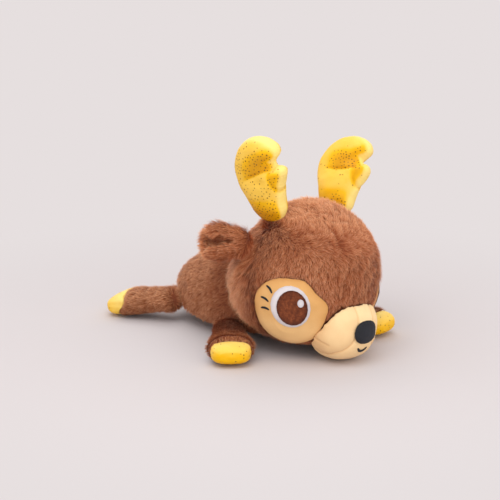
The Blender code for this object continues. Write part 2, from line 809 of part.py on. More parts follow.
def make_legs(side, body, floor):
    name = SIDE_NAMES[side]
    foot_height = LEG_END_HALF_HEIGHT - REST_CUT
    if side == RIGHT:
        inset, seat, out, ahead = RIGHT_ROOT_INSET, RIGHT_SEAT, RIGHT_FOOT_OUT, RIGHT_FOOT_AHEAD
    else:
        inset, seat, out, ahead = LEFT_ROOT_INSET, LEFT_SEAT, LEFT_FOOT_OUT, LEFT_FOOT_AHEAD
    root = Vector((side * (body_side(inset, FRONT_ROOT_HEIGHT) + seat), BODY_START + inset, 0))
    foot = root + Vector((side * out, -ahead, 0))
    front = Leg(f"front_{name}", root + UP * FRONT_ROOT_HEIGHT, foot + UP * foot_height)
    inset = BODY_LENGTH - HIND_ROOT_INSET
    root = Vector((side * (body_side(inset, HIND_ROOT_HEIGHT) + HIND_SEAT), BODY_START + inset, 0))
    foot = root + Vector((side * HIND_FOOT_OUT, HIND_FOOT_BACK, 0))
    hind = Leg(f"hind_{name}", root + UP * HIND_ROOT_HEIGHT, foot + UP * foot_height)
    return front.make(body, floor) + hind.make(body, floor)


# Body


def body_swell(share):
    """How full the body is at a share of its length, from its front."""
    return (4 * share * (1 - share)) ** 0.4


def body_side(inset, height):
    """How far the body's side lies from its middle, low down and this far behind its front."""
    swell = body_swell(inset / BODY_LENGTH)
    drop_share = (BODY_WIDEST_HEIGHT - height) / ((BODY_WIDEST_HEIGHT + REST_CUT) * swell)
    return BODY_HALF_WIDTH * swell * (1 - drop_share**BODY_POWER) ** (1 / BODY_POWER)


def make_body(head_clearance):
    """A low dome, widest near the floor, from the back of the head to the rump."""
    rings = []
    for row in range(1, BODY_RINGS):
        share = (1 - math.cos(math.pi * row / BODY_RINGS)) / 2
        swell = body_swell(share)
        top = BODY_HEIGHT - BODY_WIDEST_HEIGHT - BODY_RUMP_DROP * smooth(share)
        points = []
        for index in range(BODY_ROUND):
            c, s = turned(index / BODY_ROUND, BODY_POWER)
            rise = top * swell * s if s > 0 else (BODY_WIDEST_HEIGHT + REST_CUT) * swell * s
            side = BODY_HALF_WIDTH * swell * c
            back = BODY_START + BODY_LENGTH * share
            points.append(Vector((side, back, BODY_WIDEST_HEIGHT + rise)))
        rings.append(points)
    start = Vector((0, BODY_START, BODY_WIDEST_HEIGHT))
    end = start + BACK * BODY_LENGTH
    body = loft("body", start, rings, end, "plush", start.lerp(end, 0.5))
    combine(body, head_clearance, "DIFFERENCE")
    return body


def set_on_origin(pieces):
    """Moves the toy over the floor so that the middle of its box lies over the origin."""
    bpy.context.view_layer.update()
    graph = bpy.context.evaluated_depsgraph_get()
    points = []
    for obj in pieces:
        shape = obj.evaluated_get(graph)
        points += [shape.matrix_world @ vertex.co for vertex in shape.data.vertices]
    middle_x = (min(p.x for p in points) + max(p.x for p in points)) / 2
    middle_y = (min(p.y for p in points) + max(p.y for p in points)) / 2
    for obj in bpy.data.objects:
        if obj.parent is None:
            obj.location -= Vector((middle_x, middle_y, 0))


def main():
    clear_scene()
    floor = make_floor()
    neck = make_neck()
    head_clearance = head_form("head_clearance", neck, SEWN_GAP, 0, helper=True)
    head = head_form("head", neck)
    muzzle = make_muzzle(neck, head_clearance)
    body = make_body(head_clearance)
    pieces = [head, muzzle, body, make_nose(neck), make_mouth(neck)]
    for side in (RIGHT, LEFT):
        pieces += make_eye(side, head, neck)
        pieces += [make_ear(side, head, neck), make_antler(side, head, neck)]
        pieces += make_legs(side, body, floor)
    for soft in (head, muzzle, body):
        combine(soft, floor, "DIFFERENCE")
    set_on_origin(pieces)


main()
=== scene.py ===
"""Dresses the plush deer: brown plush, yellow foil antlers and hooves, a velour face and sewn eyes."""

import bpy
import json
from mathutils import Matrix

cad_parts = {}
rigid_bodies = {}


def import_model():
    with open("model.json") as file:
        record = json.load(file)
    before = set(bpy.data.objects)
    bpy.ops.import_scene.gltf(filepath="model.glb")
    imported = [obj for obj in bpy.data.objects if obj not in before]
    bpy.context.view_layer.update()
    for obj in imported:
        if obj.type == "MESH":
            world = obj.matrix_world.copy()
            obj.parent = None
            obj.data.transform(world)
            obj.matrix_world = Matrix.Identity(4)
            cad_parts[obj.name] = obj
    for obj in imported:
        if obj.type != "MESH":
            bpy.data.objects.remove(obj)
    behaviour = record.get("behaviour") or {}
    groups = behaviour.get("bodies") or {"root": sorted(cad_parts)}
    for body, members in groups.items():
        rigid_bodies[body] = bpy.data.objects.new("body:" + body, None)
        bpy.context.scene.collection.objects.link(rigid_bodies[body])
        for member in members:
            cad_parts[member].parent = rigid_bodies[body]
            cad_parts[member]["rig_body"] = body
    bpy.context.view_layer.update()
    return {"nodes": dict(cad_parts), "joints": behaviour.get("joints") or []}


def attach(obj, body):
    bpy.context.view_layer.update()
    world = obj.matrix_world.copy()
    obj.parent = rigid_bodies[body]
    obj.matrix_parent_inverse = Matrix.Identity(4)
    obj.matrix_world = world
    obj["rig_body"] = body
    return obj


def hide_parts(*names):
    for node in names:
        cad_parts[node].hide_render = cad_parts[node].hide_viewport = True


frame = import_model()

import json
import logging
import math
from dataclasses import dataclass, field
from enum import Enum
from typing import Callable

import bpy
import numpy as np
from mathutils import Euler, Vector, noise
from mathutils.bvhtree import BVHTree
from mathutils.kdtree import KDTree

LOG = logging.getLogger("plush_deer")
MM = 0.001
NODES = frame["nodes"]
JOINTS = {joint["name"]: joint for joint in frame["joints"]}
SIDES = {"right": -1, "left": 1}
BALL = 58.5  # mm, the radius of the head
SIMULATED = 20  # frames of the cloth simulation
CLOTH_VOXEL = 2.0 * MM  # spacing of the simulated cloth's mesh
STARTS_IN = 0.25  # how far inward a cloth starts, as a share of its reach
SINKS_IN = 0.15  # how far a filled cloth may lie inward, as a share of its reach
STRAYS = 1.5  # how far a point may stray in all, as a share of its reach
PAINTED = ("comb", "tone", "thick", "reach", "along", "shade", "dots")  # fields that only the trees read
STUFFING = {
    "quality": 6, "mass": 0.15, "tension_stiffness": 12.0, "compression_stiffness": 12.0, "shear_stiffness": 4.0,
    "bending_stiffness": 0.4, "tension_damping": 8.0, "compression_damping": 8.0, "air_damping": 2.0,
    "shrink_min": -0.05, "vertex_group_mass": "sewn", "use_pressure": True, "uniform_pressure_force": 5.0
}
Colour = tuple[float, float, float]
Value = float | int | bool | str | tuple | bpy.types.NodeSocket | bpy.types.Material


def swatch(red: int, green: int, blue: int) -> Colour:
    """Turns a swatch's 0 to 255 values into a linear colour.

    Args:
        red: The red value.
        green: The green value.
        blue: The blue value.

    Returns:
        The linear colour.
    """
    shares = [value / 255 for value in (red, green, blue)]
    return tuple(s / 12.92 if s <= 0.04045 else ((s + 0.055) / 1.055) ** 2.4 for s in shares)


def blended(first: Colour, second: Colour, share: float) -> Colour:
    """Mixes two colours.

    Args:
        first: The colour at share 0.
        second: The colour at share 1.
        share: How much of the second.

    Returns:
        The mixed colour.
    """
    return tuple(a + (b - a) * share for a, b in zip(first, second))


def ease(values: np.ndarray, start: float, end: float) -> np.ndarray:
    """Rises smoothly from 0 at start to 1 at end.

    Args:
        values: The numbers to ease.
        start: Where the rise starts.
        end: Where it ends.

    Returns:
        The eased shares.
    """
    share = np.clip((values - start) / (end - start), 0.0, 1.0)
    return share * share * (3 - 2 * share)


def bell(values: np.ndarray, width: float) -> np.ndarray:
    """Falls smoothly from 1 at zero to almost 0 at twice the width, on both sides.

    Args:
        values: The numbers.
        width: Half the width of the bell.

    Returns:
        One share for each number.
    """
    return np.exp(-((values / width) ** 2))


def unit(vectors: np.ndarray) -> np.ndarray:
    """Scales each row to a length of one.

    Args:
        vectors: Rows of three numbers.

    Returns:
        The rows at unit length.
    """
    return vectors / np.maximum(np.linalg.norm(vectors, axis=1, keepdims=True), 1e-12)


def flattened(vectors: np.ndarray, out: np.ndarray) -> np.ndarray:
    """Lays directions flat on a surface.

    Args:
        vectors: Rows of directions.
        out: The surface's outward directions.

    Returns:
        The directions along the surface, at unit length.
    """
    return unit(vectors - out * (vectors * out).sum(1)[:, None])


def adjust(holder: bpy.types.bpy_struct, settings: dict[str, Value]) -> None:
    """Sets several properties of a node or a modifier.

    Args:
        holder: What has the properties.
        settings: Their values, by name.
    """
    for key, value in settings.items():
        setattr(holder, key, value)


class HeadFrame:
    """The head's own directions: x across, y backward and z up, from the middle of its ball."""

    middle = np.array(JOINTS["neck_nod"]["pos_m"])
    turn = np.array(Euler((0, math.radians(7), math.radians(4.5))).to_matrix())
    radius = BALL * MM
    below = math.radians(37.3)
    muzzle_way = np.array((0.0, -math.cos(below), -math.sin(below)))

    @classmethod
    def local(cls, points: np.ndarray) -> np.ndarray:
        """Gives points of the row frame in the head's own directions."""
        return (points - cls.middle) @ cls.turn

    @classmethod
    def ways(cls, vectors: np.ndarray) -> np.ndarray:
        """Turns directions of the head's frame into the row frame."""
        return vectors @ cls.turn.T


# Node graphs


class Graph:
    """A node tree, with short ways to fill it."""

    def __init__(self, tree: bpy.types.NodeTree) -> None:
        """Keeps the tree."""
        self.tree = tree

    def feed(self, node: bpy.types.Node, **inputs: Value) -> None:
        """Sets or links inputs of a node.

        Args:
            node: The node.
            **inputs: Values or sockets, as i0, i1 and so on by place, or by name with _ for a space.
        """
        for key, value in inputs.items():
            socket = node.inputs[int(key[1:]) if key[1:].isdigit() else key.replace("_", " ")]
            if isinstance(value, bpy.types.NodeSocket):
                self.tree.links.new(value, socket)
            else:
                socket.default_value = value

    def add(self, kind: str, settings: dict[str, Value] | None = None, **inputs: Value) -> bpy.types.Node:
        """Adds one node.

        Args:
            kind: The node's type.
            settings: Its own options.
            **inputs: Its inputs, as in feed.

        Returns:
            The node.
        """
        node = self.tree.nodes.new(kind)
        adjust(node, settings or {})
        self.feed(node, **inputs)
        return node

    def math(self, operation: str, first: Value, second: Value = 0.0) -> bpy.types.NodeSocket:
        """Works on one or two numbers."""
        return self.add("ShaderNodeMath", {"operation": operation}, i0=first, i1=second).outputs[0]

    def vector(self, operation: str, first: Value, second: Value = (0, 0, 0)) -> bpy.types.NodeSocket:
        """Works on one or two vectors."""
        node = self.add("ShaderNodeVectorMath", {"operation": operation}, i0=first, i1=second)
        return node.outputs["Value" if operation in ("DOT_PRODUCT", "LENGTH") else "Vector"]

    def scaled(self, vector: Value, scale: Value) -> bpy.types.NodeSocket:
        """Multiplies a vector by a number."""
        return self.add("ShaderNodeVectorMath", {"operation": "SCALE"}, i0=vector, Scale=scale).outputs[0]

    def packed(self, x: Value, y: Value, z: Value = 0.0) -> bpy.types.NodeSocket:
        """Makes a vector of two or three numbers."""
        return self.add("ShaderNodeCombineXYZ", i0=x, i1=y, i2=z).outputs[0]

    def apart(self, vector: Value) -> bpy.types.NodeOutputs:
        """Gives a vector's three numbers."""
        return self.add("ShaderNodeSeparateXYZ", i0=vector).outputs

    def noise(self, place: Value, size: Value, detail: float = 2.0) -> bpy.types.Node:
        """Adds a soft noise, of so many swells to the metre."""
        return self.add("ShaderNodeTexNoise", Vector=place, Scale=size, Detail=detail)

    def ramp(self, share: Value, stops: list[tuple[float, Colour]]) -> bpy.types.NodeSocket:
        """Adds a run of colours.

        Args:
            share: Where on the run, from 0 to 1.
            stops: The places and colours of the run.

        Returns:
            The colour's socket.
        """
        node = self.add("ShaderNodeValToRGB", i0=share)
        elements = node.color_ramp.elements
        while len(elements) < len(stops):
            elements.new(0.5)
        for element, (place, tone) in zip(elements, stops):
            element.position = place
            element.color = (*tone, 1.0)
        return node.outputs[0]


def shader(name: str) -> tuple[bpy.types.Material, Graph, bpy.types.Node]:
    """Starts a material with its Principled shader.

    Args:
        name: The material's name.

    Returns:
        The material, its graph and the shader node.
    """
    made = bpy.data.materials.new(name)
    made.use_nodes = True
    return made, Graph(made.node_tree), made.node_tree.nodes["Principled BSDF"]


# Finishes


@dataclass(frozen=True)
class Pile:
    """A plush pile: what a dark and a light strand look like from root to tip."""

    name: str
    root: Colour
    dark: Colour
    light: Colour
    tip: Colour
    places: tuple[float, ...] = (0.0, 0.35, 0.7, 1.0)
    roughness: float = 0.62
    gloss: float = 0.28
    sheen: float = 0.12
    sheen_roughness: float = 0.4

    def material(self) -> bpy.types.Material:
        """Builds the finish from the strands' own coordinates: shade, and the way up the strand.

        Returns:
            The material.
        """
        made, graph, principled = shader(self.name)
        shade, up, _ = graph.apart(graph.add("ShaderNodeUVMap", {"uv_map": "OFBake"}).outputs[0])
        low, high = blended(self.root, self.dark, 0.4), blended(self.dark, self.light, 0.35)
        dark, light = (
            graph.ramp(up, list(zip(self.places, colours)))
            for colours in ((self.root, low, self.dark, high), (self.root, self.dark, self.light, self.tip))
        )
        tone = graph.add("ShaderNodeMix", {"data_type": "RGBA"}, i0=shade, i6=dark, i7=light).outputs[2]
        graph.feed(
            principled, Base_Color=tone, Roughness=self.roughness, Specular_IOR_Level=self.gloss,
            Sheen_Weight=self.sheen, Sheen_Roughness=self.sheen_roughness
        )
        return made


@dataclass(frozen=True)
class Cloth:
    """A woven or brushed cloth whose 'tone' attribute runs from its shaded to its lit colour."""

    name: str
    shaded: Colour
    middle: Colour
    lit: Colour
    roughness: float
    sheen: float
    grain: float
    relief: float
    mottle: float = 0.12
    mottle_size: float = 90.0
    gloss: float = 0.35
    sheen_roughness: float = 0.45
    rough_swing: float = 0.15
    grain_height: float = 0.4 * MM

    def material(self) -> bpy.types.Material:
        """Builds the finish: its tone, a soft mottle and a fine grain.

        Returns:
            The material.
        """
        made, graph, principled = shader(self.name)
        place = graph.add("ShaderNodeTexCoord").outputs["Object"]
        tone = graph.add("ShaderNodeAttribute", {"attribute_name": "tone"}).outputs["Fac"]
        soft = graph.noise(place, self.mottle_size, 3.0).outputs["Fac"]
        fine = graph.noise(place, self.grain, 2.0).outputs["Fac"]
        swing = graph.math("MULTIPLY", graph.math("SUBTRACT", soft, 0.5), self.mottle * 2)
        speck = graph.math("MULTIPLY", graph.math("SUBTRACT", fine, 0.5), self.mottle)
        share = graph.math("ADD", tone, graph.math("ADD", swing, speck))
        colour = graph.ramp(share, [(0.0, self.shaded), (0.5, self.middle), (1.0, self.lit)])
        rough = graph.math("ADD", graph.math("MULTIPLY", fine, self.rough_swing), self.roughness - 0.07)
        bump = graph.add("ShaderNodeBump", Strength=self.relief, Distance=self.grain_height, Height=fine)
        graph.feed(
            principled, Base_Color=colour, Roughness=rough, Normal=bump.outputs[0],
            Specular_IOR_Level=self.gloss, Sheen_Weight=self.sheen, Sheen_Roughness=self.sheen_roughness
        )
        return made


class Finish(Enum):
    """Every finish of the toy."""

    HEAD_PILE = Pile(
        "head_plush", swatch(124, 56, 26), swatch(163, 78, 39), swatch(222, 147, 99), swatch(248, 202, 160)
    )
    BODY_PILE = Pile(
        "body_plush", swatch(124, 62, 34), swatch(160, 87, 50), swatch(216, 150, 104), swatch(242, 192, 152)
    )
    BACKING = Cloth(
        "plush_backing", swatch(84, 40, 22), swatch(132, 68, 40), swatch(152, 84, 54), 0.9, 0.1, 900.0, 0.5
    )
    TAN = Cloth(
        "face_tan", swatch(200, 138, 74), swatch(222, 168, 102), swatch(246, 200, 136), 0.88, 0.12, 1500.0, 0.35
    )
    CREAM = Cloth(
        "face_cream", swatch(214, 162, 110), swatch(238, 196, 142), swatch(252, 222, 170), 0.88, 0.12, 1500.0, 0.3
    )
    FOIL = Cloth(
        "antler_foil", swatch(212, 146, 0), swatch(246, 188, 0), swatch(255, 224, 128), 0.5, 0.0, 1300.0, 0.2, 0.1,
        60.0, 0.25
    )
    DOT = Cloth("dot_foil", swatch(96, 58, 6), swatch(122, 76, 8), swatch(150, 98, 14), 0.4, 0.0, 1500.0, 0.1)
    NAVY = Cloth("sewing_thread", swatch(8, 9, 14), swatch(26, 28, 36), swatch(46, 48, 58), 0.55, 0.05, 1800.0, 0.3)
    WHITE = Cloth(
        "eye_satin", swatch(190, 180, 184), swatch(230, 224, 226), swatch(246, 242, 243), 0.4, 0.1, 1500.0, 0.12
    )
    VELVET = Cloth(
        "iris_velvet", swatch(62, 22, 6), swatch(112, 52, 22), swatch(160, 86, 46), 0.85, 0.1, 1400.0, 0.8, 0.55,
        420.0
    )

    @property
    def dressed(self) -> bpy.types.Material:
        """The finish's material, built the first time it is asked for.

        Returns:
            The material.
        """
        if self not in DRESSED:
            DRESSED[self] = self.value.material()
        return DRESSED[self]


DRESSED: dict[Finish, bpy.types.Material] = {}


# Meshes


def node_arrays(node: str) -> tuple[np.ndarray, np.ndarray]:
    """Merges the loose triangles of a CAD node, or of a dressed piece.

    Args:
        node: The node's or the piece's name.

    Returns:
        The places of its points, and its triangles.
    """
    mesh = (NODES.get(node) or bpy.data.objects[node]).data
    mesh.calc_loop_triangles()
    places = np.array([v.co for v in mesh.vertices])
    corners = np.array([t.vertices for t in mesh.loop_triangles])
    _, first, same = np.unique(np.round(places, 7), axis=0, return_index=True, return_inverse=True)
    triangles = same.ravel()[corners]
    whole = (triangles != np.roll(triangles, 1, axis=1)).all(1)
    return places[first], triangles[whole]


def make_object(name: str, data: bpy.types.ID) -> bpy.types.Object:
    """Puts a mesh, a lamp or a camera into the scene.

    Args:
        name: The object's name.
        data: Its mesh, light or camera.

    Returns:
        The object.
    """
    made = bpy.data.objects.new(name, data)
    bpy.context.scene.collection.objects.link(made)
    return made


def copy_of(node: str, name: str) -> bpy.types.Object:
    """Copies a CAD node's shape into a new object.

    Args:
        node: The node's name.
        name: The new object's name.

    Returns:
        The object.
    """
    points, triangles = node_arrays(node)
    mesh = bpy.data.meshes.new(name)
    mesh.from_pydata(points.tolist(), [], triangles.tolist())
    mesh.update()
    return make_object(name, mesh)


def bake(made: bpy.types.Object) -> None:
    """Makes what an object's modifiers show its own mesh.

    Args:
        made: The object.
    """
    bpy.context.view_layer.update()
    graph = bpy.context.evaluated_depsgraph_get()
    mesh = bpy.data.meshes.new_from_object(made.evaluated_get(graph), depsgraph=graph)
    made.modifiers.clear()
    made.data = mesh


def apply(made: bpy.types.Object, kind: str, **settings: Value) -> None:
    """Adds a modifier and makes its result the object's mesh.

    Args:
        made: The object.
        kind: The modifier's type.
        **settings: The modifier's settings.
    """
    adjust(made.modifiers.new(kind.lower(), kind), settings)
    bake(made)


def remesh(made: bpy.types.Object, voxel: float, rounds: int) -> None:
    """Gives an object an even mesh and softens it.

    Args:
        made: The object.
        voxel: The mesh's spacing.
        rounds: How often it is softened.
    """
    apply(made, "REMESH", mode="VOXEL", voxel_size=voxel, use_smooth_shade=True)
    if rounds:
        apply(made, "SMOOTH", factor=0.5, iterations=rounds)


def stuffed(made: bpy.types.Object, most: float, held: Callable[[np.ndarray], np.ndarray], calm: int) -> None:
    """Fills a closed cloth shape from within by a cloth simulation.

    Args:
        made: The object.
        most: The cloth's reach: how far out a point may move.
        held: Gives how firmly each point is sewn down, from 0 to 1.
        calm: How many rounds of evening take out small wrinkles.
    """
    remesh(made, CLOTH_VOXEL, 2)
    start, out = surface_of(made)
    place(made, start - out * most * STARTS_IN)
    sewn = made.vertex_groups.new(name="sewn")
    for index, weight in enumerate(held(start)):
        sewn.add([index], float(weight), "REPLACE")
    modifier = made.modifiers.new("stuffing", "CLOTH")
    adjust(modifier.settings, STUFFING)
    modifier.settings.effector_weights.gravity = 0.0
    modifier.point_cache.frame_start = 1
    modifier.point_cache.frame_end = SIMULATED
    for number in range(1, SIMULATED + 1):
        bpy.context.scene.frame_set(number)
    bake(made)
    made.vertex_groups.clear()
    bpy.context.scene.frame_set(1)
    filled, out = surface_of(made)
    moved = filled - start
    risen = (moved * out).sum(1)
    LOG.info("%s: the stuffing moved it %.2f to %.2f mm", made.name, risen.min() / MM, risen.max() / MM)
    moved += out * (np.clip(risen, -SINKS_IN * most, most) - risen)[:, None]
    far = np.linalg.norm(moved, axis=1, keepdims=True)
    moved *= np.minimum(1.0, STRAYS * most / np.maximum(far, 1e-9))
    place(made, start + spread(made, moved, calm))


def surface_of(made: bpy.types.Object) -> tuple[np.ndarray, np.ndarray]:
    """Reads an object's points.

    Args:
        made: The object.

    Returns:
        Their places, and their outward directions.
    """
    found = []
    for rows, key in ((made.data.vertices, "co"), (made.data.vertex_normals, "vector")):
        values = np.empty(len(rows) * 3, np.float32)
        rows.foreach_get(key, values)
        found.append(values.reshape(-1, 3).astype(float))
    return found[0], found[1]


def place(made: bpy.types.Object, points: np.ndarray) -> None:
    """Moves an object's points.

    Args:
        made: The object.
        points: Their new places.
    """
    made.data.vertices.foreach_set("co", points.astype(np.float32).ravel())
    made.data.update()


def spread(made: bpy.types.Object, values: np.ndarray, rounds: int) -> np.ndarray:
    """Evens out values over a mesh, each point with those it shares an edge with.

    Args:
        made: The object.
        values: One row for each point.
        rounds: How many times.

    Returns:
        The evened values.
    """
    ends = np.empty(2 * len(made.data.edges), int)
    made.data.edges.foreach_get("vertices", ends)
    first, second = ends[0::2], ends[1::2]
    count = np.maximum(np.bincount(ends, minlength=len(values)), 1)[:, None]
    for _ in range(rounds):
        total = np.zeros_like(values)
        np.add.at(total, first, values[second])
        np.add.at(total, second, values[first])
        values = 0.5 * values + 0.5 * total / count
    return values


def paint(made: bpy.types.Object, name: str, values: np.ndarray) -> None:
    """Writes a number or a direction for each point of an object.

    Args:
        made: The object.
        name: The attribute's name.
        values: One number, or one row of three, for each point.
    """
    wide = values.ndim == 2
    held = made.data.attributes.new(name, "FLOAT_VECTOR" if wide else "FLOAT", "POINT")
    held.data.foreach_set("vector" if wide else "value", values.astype(np.float32).ravel())


def smooth_faces(made: bpy.types.Object) -> None:
    """Shades an object smoothly.

    Args:
        made: The object.
    """
    made.data.polygons.foreach_set("use_smooth", [True] * len(made.data.polygons))
    made.data.update()


def waves(points: np.ndarray, size: float, seed: float = 0.0) -> np.ndarray:
    """Gives a soft noise at each place.

    Args:
        points: The places.
        size: The width of one swell.
        seed: Which noise.

    Returns:
        One number from about -1 to 1 for each place.
    """
    shift = Vector((seed, seed * 2.3, seed * 1.7))
    return np.array([noise.noise(Vector(p / size) + shift) for p in points])


class Neighbours:
    """The surfaces of the pieces that a pile stays out of, or closes round."""

    def __init__(self, nodes: list[str]) -> None:
        """Builds one searchable surface.

        Args:
            nodes: The nodes' names.
        """
        points, faces = [], []
        for node in nodes:
            places, triangles = node_arrays(node)
            faces += (triangles + len(points)).tolist()
            points += places.tolist()
        self.tree = BVHTree.FromPolygons(points, faces) if points else None

    def over(self, points: np.ndarray, normals: np.ndarray, distance: float) -> np.ndarray:
        """Says which points something lies over.

        Args:
            points: The places.
            normals: Their outward directions.
            distance: How far outward to look.

        Returns:
            True for each covered point.
        """
        if self.tree is None:
            return np.zeros(len(points), bool)
        rays = (self.tree.ray_cast(Vector(p), Vector(n), distance) for p, n in zip(points, normals))
        return np.array([ray[0] is not None for ray in rays])

    def toward(self, points: np.ndarray) -> tuple[np.ndarray, np.ndarray]:
        """Finds the nearest place on the surface.

        Args:
            points: The places to look from.

        Returns:
            The directions to it and the distances.
        """
        if self.tree is None:
            return np.zeros((len(points), 3)), np.full(len(points), 1.0)
        found = [self.tree.find_nearest(Vector(p)) for p in points]
        away = np.array([hit[0] for hit in found]) - points
        return unit(away), np.array([hit[3] for hit in found])


def tree_of(points: np.ndarray) -> KDTree:
    """Sorts places so that the nearest one is found fast.

    Args:
        points: The places.

    Returns:
        The sorted tree.
    """
    tree = KDTree(len(points))
    for index, point in enumerate(points):
        tree.insert(Vector(point), index)
    tree.balance()
    return tree


def nearest_distance(points: np.ndarray, marks: np.ndarray) -> np.ndarray:
    """Gives each point's distance to the nearest mark.

    Args:
        points: The places.
        marks: The marks' places.

    Returns:
        One distance for each point.
    """
    tree = tree_of(marks)
    return np.array([tree.find(Vector(p))[2] for p in points])


def line_distance(points: np.ndarray, line: list[tuple[float, float]]) -> np.ndarray:
    """Gives each flat point's distance to a bent line.

    Args:
        points: Rows of two numbers.
        line: The line's corners.

    Returns:
        One distance for each point.
    """
    nearest = np.full(len(points), 1e9)
    for start, end in zip(line, line[1:]):
        a, b = np.array(start), np.array(end)
        share = np.clip((points - a) @ (b - a) / ((b - a) @ (b - a)), 0, 1)
        nearest = np.minimum(nearest, np.linalg.norm(points - (a + share[:, None] * (b - a)), axis=1))
    return nearest


# Geometry Nodes trees


class Scatter:
    """A Geometry Nodes tree that sets small shapes on a surface."""

    def __init__(self, name: str, sizes: dict[str, float | int]) -> None:
        """Starts the tree with its named inputs.

        Args:
            name: The tree's name.
            sizes: Its numbers, by name.
        """
        self.tree = bpy.data.node_groups.new(name, "GeometryNodeTree")
        self.graph = Graph(self.tree)
        self.sizes = sizes
        face = self.tree.interface
        face.new_socket("Surface", in_out="INPUT", socket_type="NodeSocketGeometry")
        self.sockets = {}
        for key, value in sizes.items():
            kind = "NodeSocketInt" if isinstance(value, int) else "NodeSocketFloat"
            self.sockets[key] = face.new_socket(key, in_out="INPUT", socket_type=kind)
        self.sockets["Finish"] = face.new_socket("Finish", in_out="INPUT", socket_type="NodeSocketMaterial")
        face.new_socket("Pieces", in_out="OUTPUT", socket_type="NodeSocketGeometry")
        self.given = self.graph.add("NodeGroupInput").outputs

    def attribute(self, name: str, kind: str = "FLOAT") -> bpy.types.NodeSocket:
        """Reads a named attribute."""
        node = self.graph.add("GeometryNodeInputNamedAttribute", {"data_type": kind}, Name=name)
        return node.outputs[0]

    def store(
        self, shape: Value, name: str, value: Value, kind: str = "FLOAT", domain: str = "POINT"
    ) -> bpy.types.NodeSocket:
        """Writes a named attribute."""
        node = self.graph.add(
            "GeometryNodeStoreNamedAttribute", {"data_type": kind, "domain": domain}, Geometry=shape, Name=name,
            Value=value
        )
        return node.outputs[0]

    def random(self, low: float, high: float, seed: int) -> bpy.types.NodeSocket:
        """Draws a number for each element."""
        node = self.graph.add("FunctionNodeRandomValue", {"data_type": "FLOAT"}, i2=low, i3=high, Seed=seed)
        return node.outputs[1]

    def end(self, shape: Value) -> None:
        """Sets the finish and closes the tree."""
        dressed = self.graph.add("GeometryNodeSetMaterial", Geometry=shape, Material=self.given["Finish"])
        self.graph.add("NodeGroupOutput", i0=dressed.outputs[0])

    def grow(self, surface: bpy.types.Object, name: str, finish: Finish, **sizes: float | int) -> bpy.types.Object:
        """Runs the tree on a surface.

        Args:
            surface: The object it grows on.
            name: The new object's name.
            finish: The finish of what grows.
            **sizes: Values for the tree's inputs, with _ for a space.

        Returns:
            A plain mesh object.
        """
        carrier = make_object(name, surface.data)
        modifier = carrier.modifiers.new(self.tree.name, "NODES")
        modifier.node_group = self.tree
        for key, value in {**self.sizes, **{k.replace("_", " "): v for k, v in sizes.items()}}.items():
            modifier[self.sockets[key].identifier] = value
        modifier[self.sockets["Finish"].identifier] = finish.dressed
        bake(carrier)
        mesh = carrier.data
        mesh.name = name
        for spare in PAINTED:
            held = mesh.attributes.get(spare)
            if held is not None and not (spare == "tone" and isinstance(finish.value, Cloth)):
                mesh.attributes.remove(held)
        return carrier


@dataclass(frozen=True)
class Strands:
    """How the strands of one pile differ from each other."""

    stray: float = 0.26
    lean: tuple[float, float] = (-14.0, 10.0)
    length: tuple[float, float] = (0.78, 1.12)
    width: tuple[float, float] = (0.75, 1.25)
    shade: tuple[float, float] = (-0.16, 0.16)
    streaks: float = 1.7
    patch_size: float = 70.0
    patches: float = 0.7
    lifted: float = 0.6 * MM


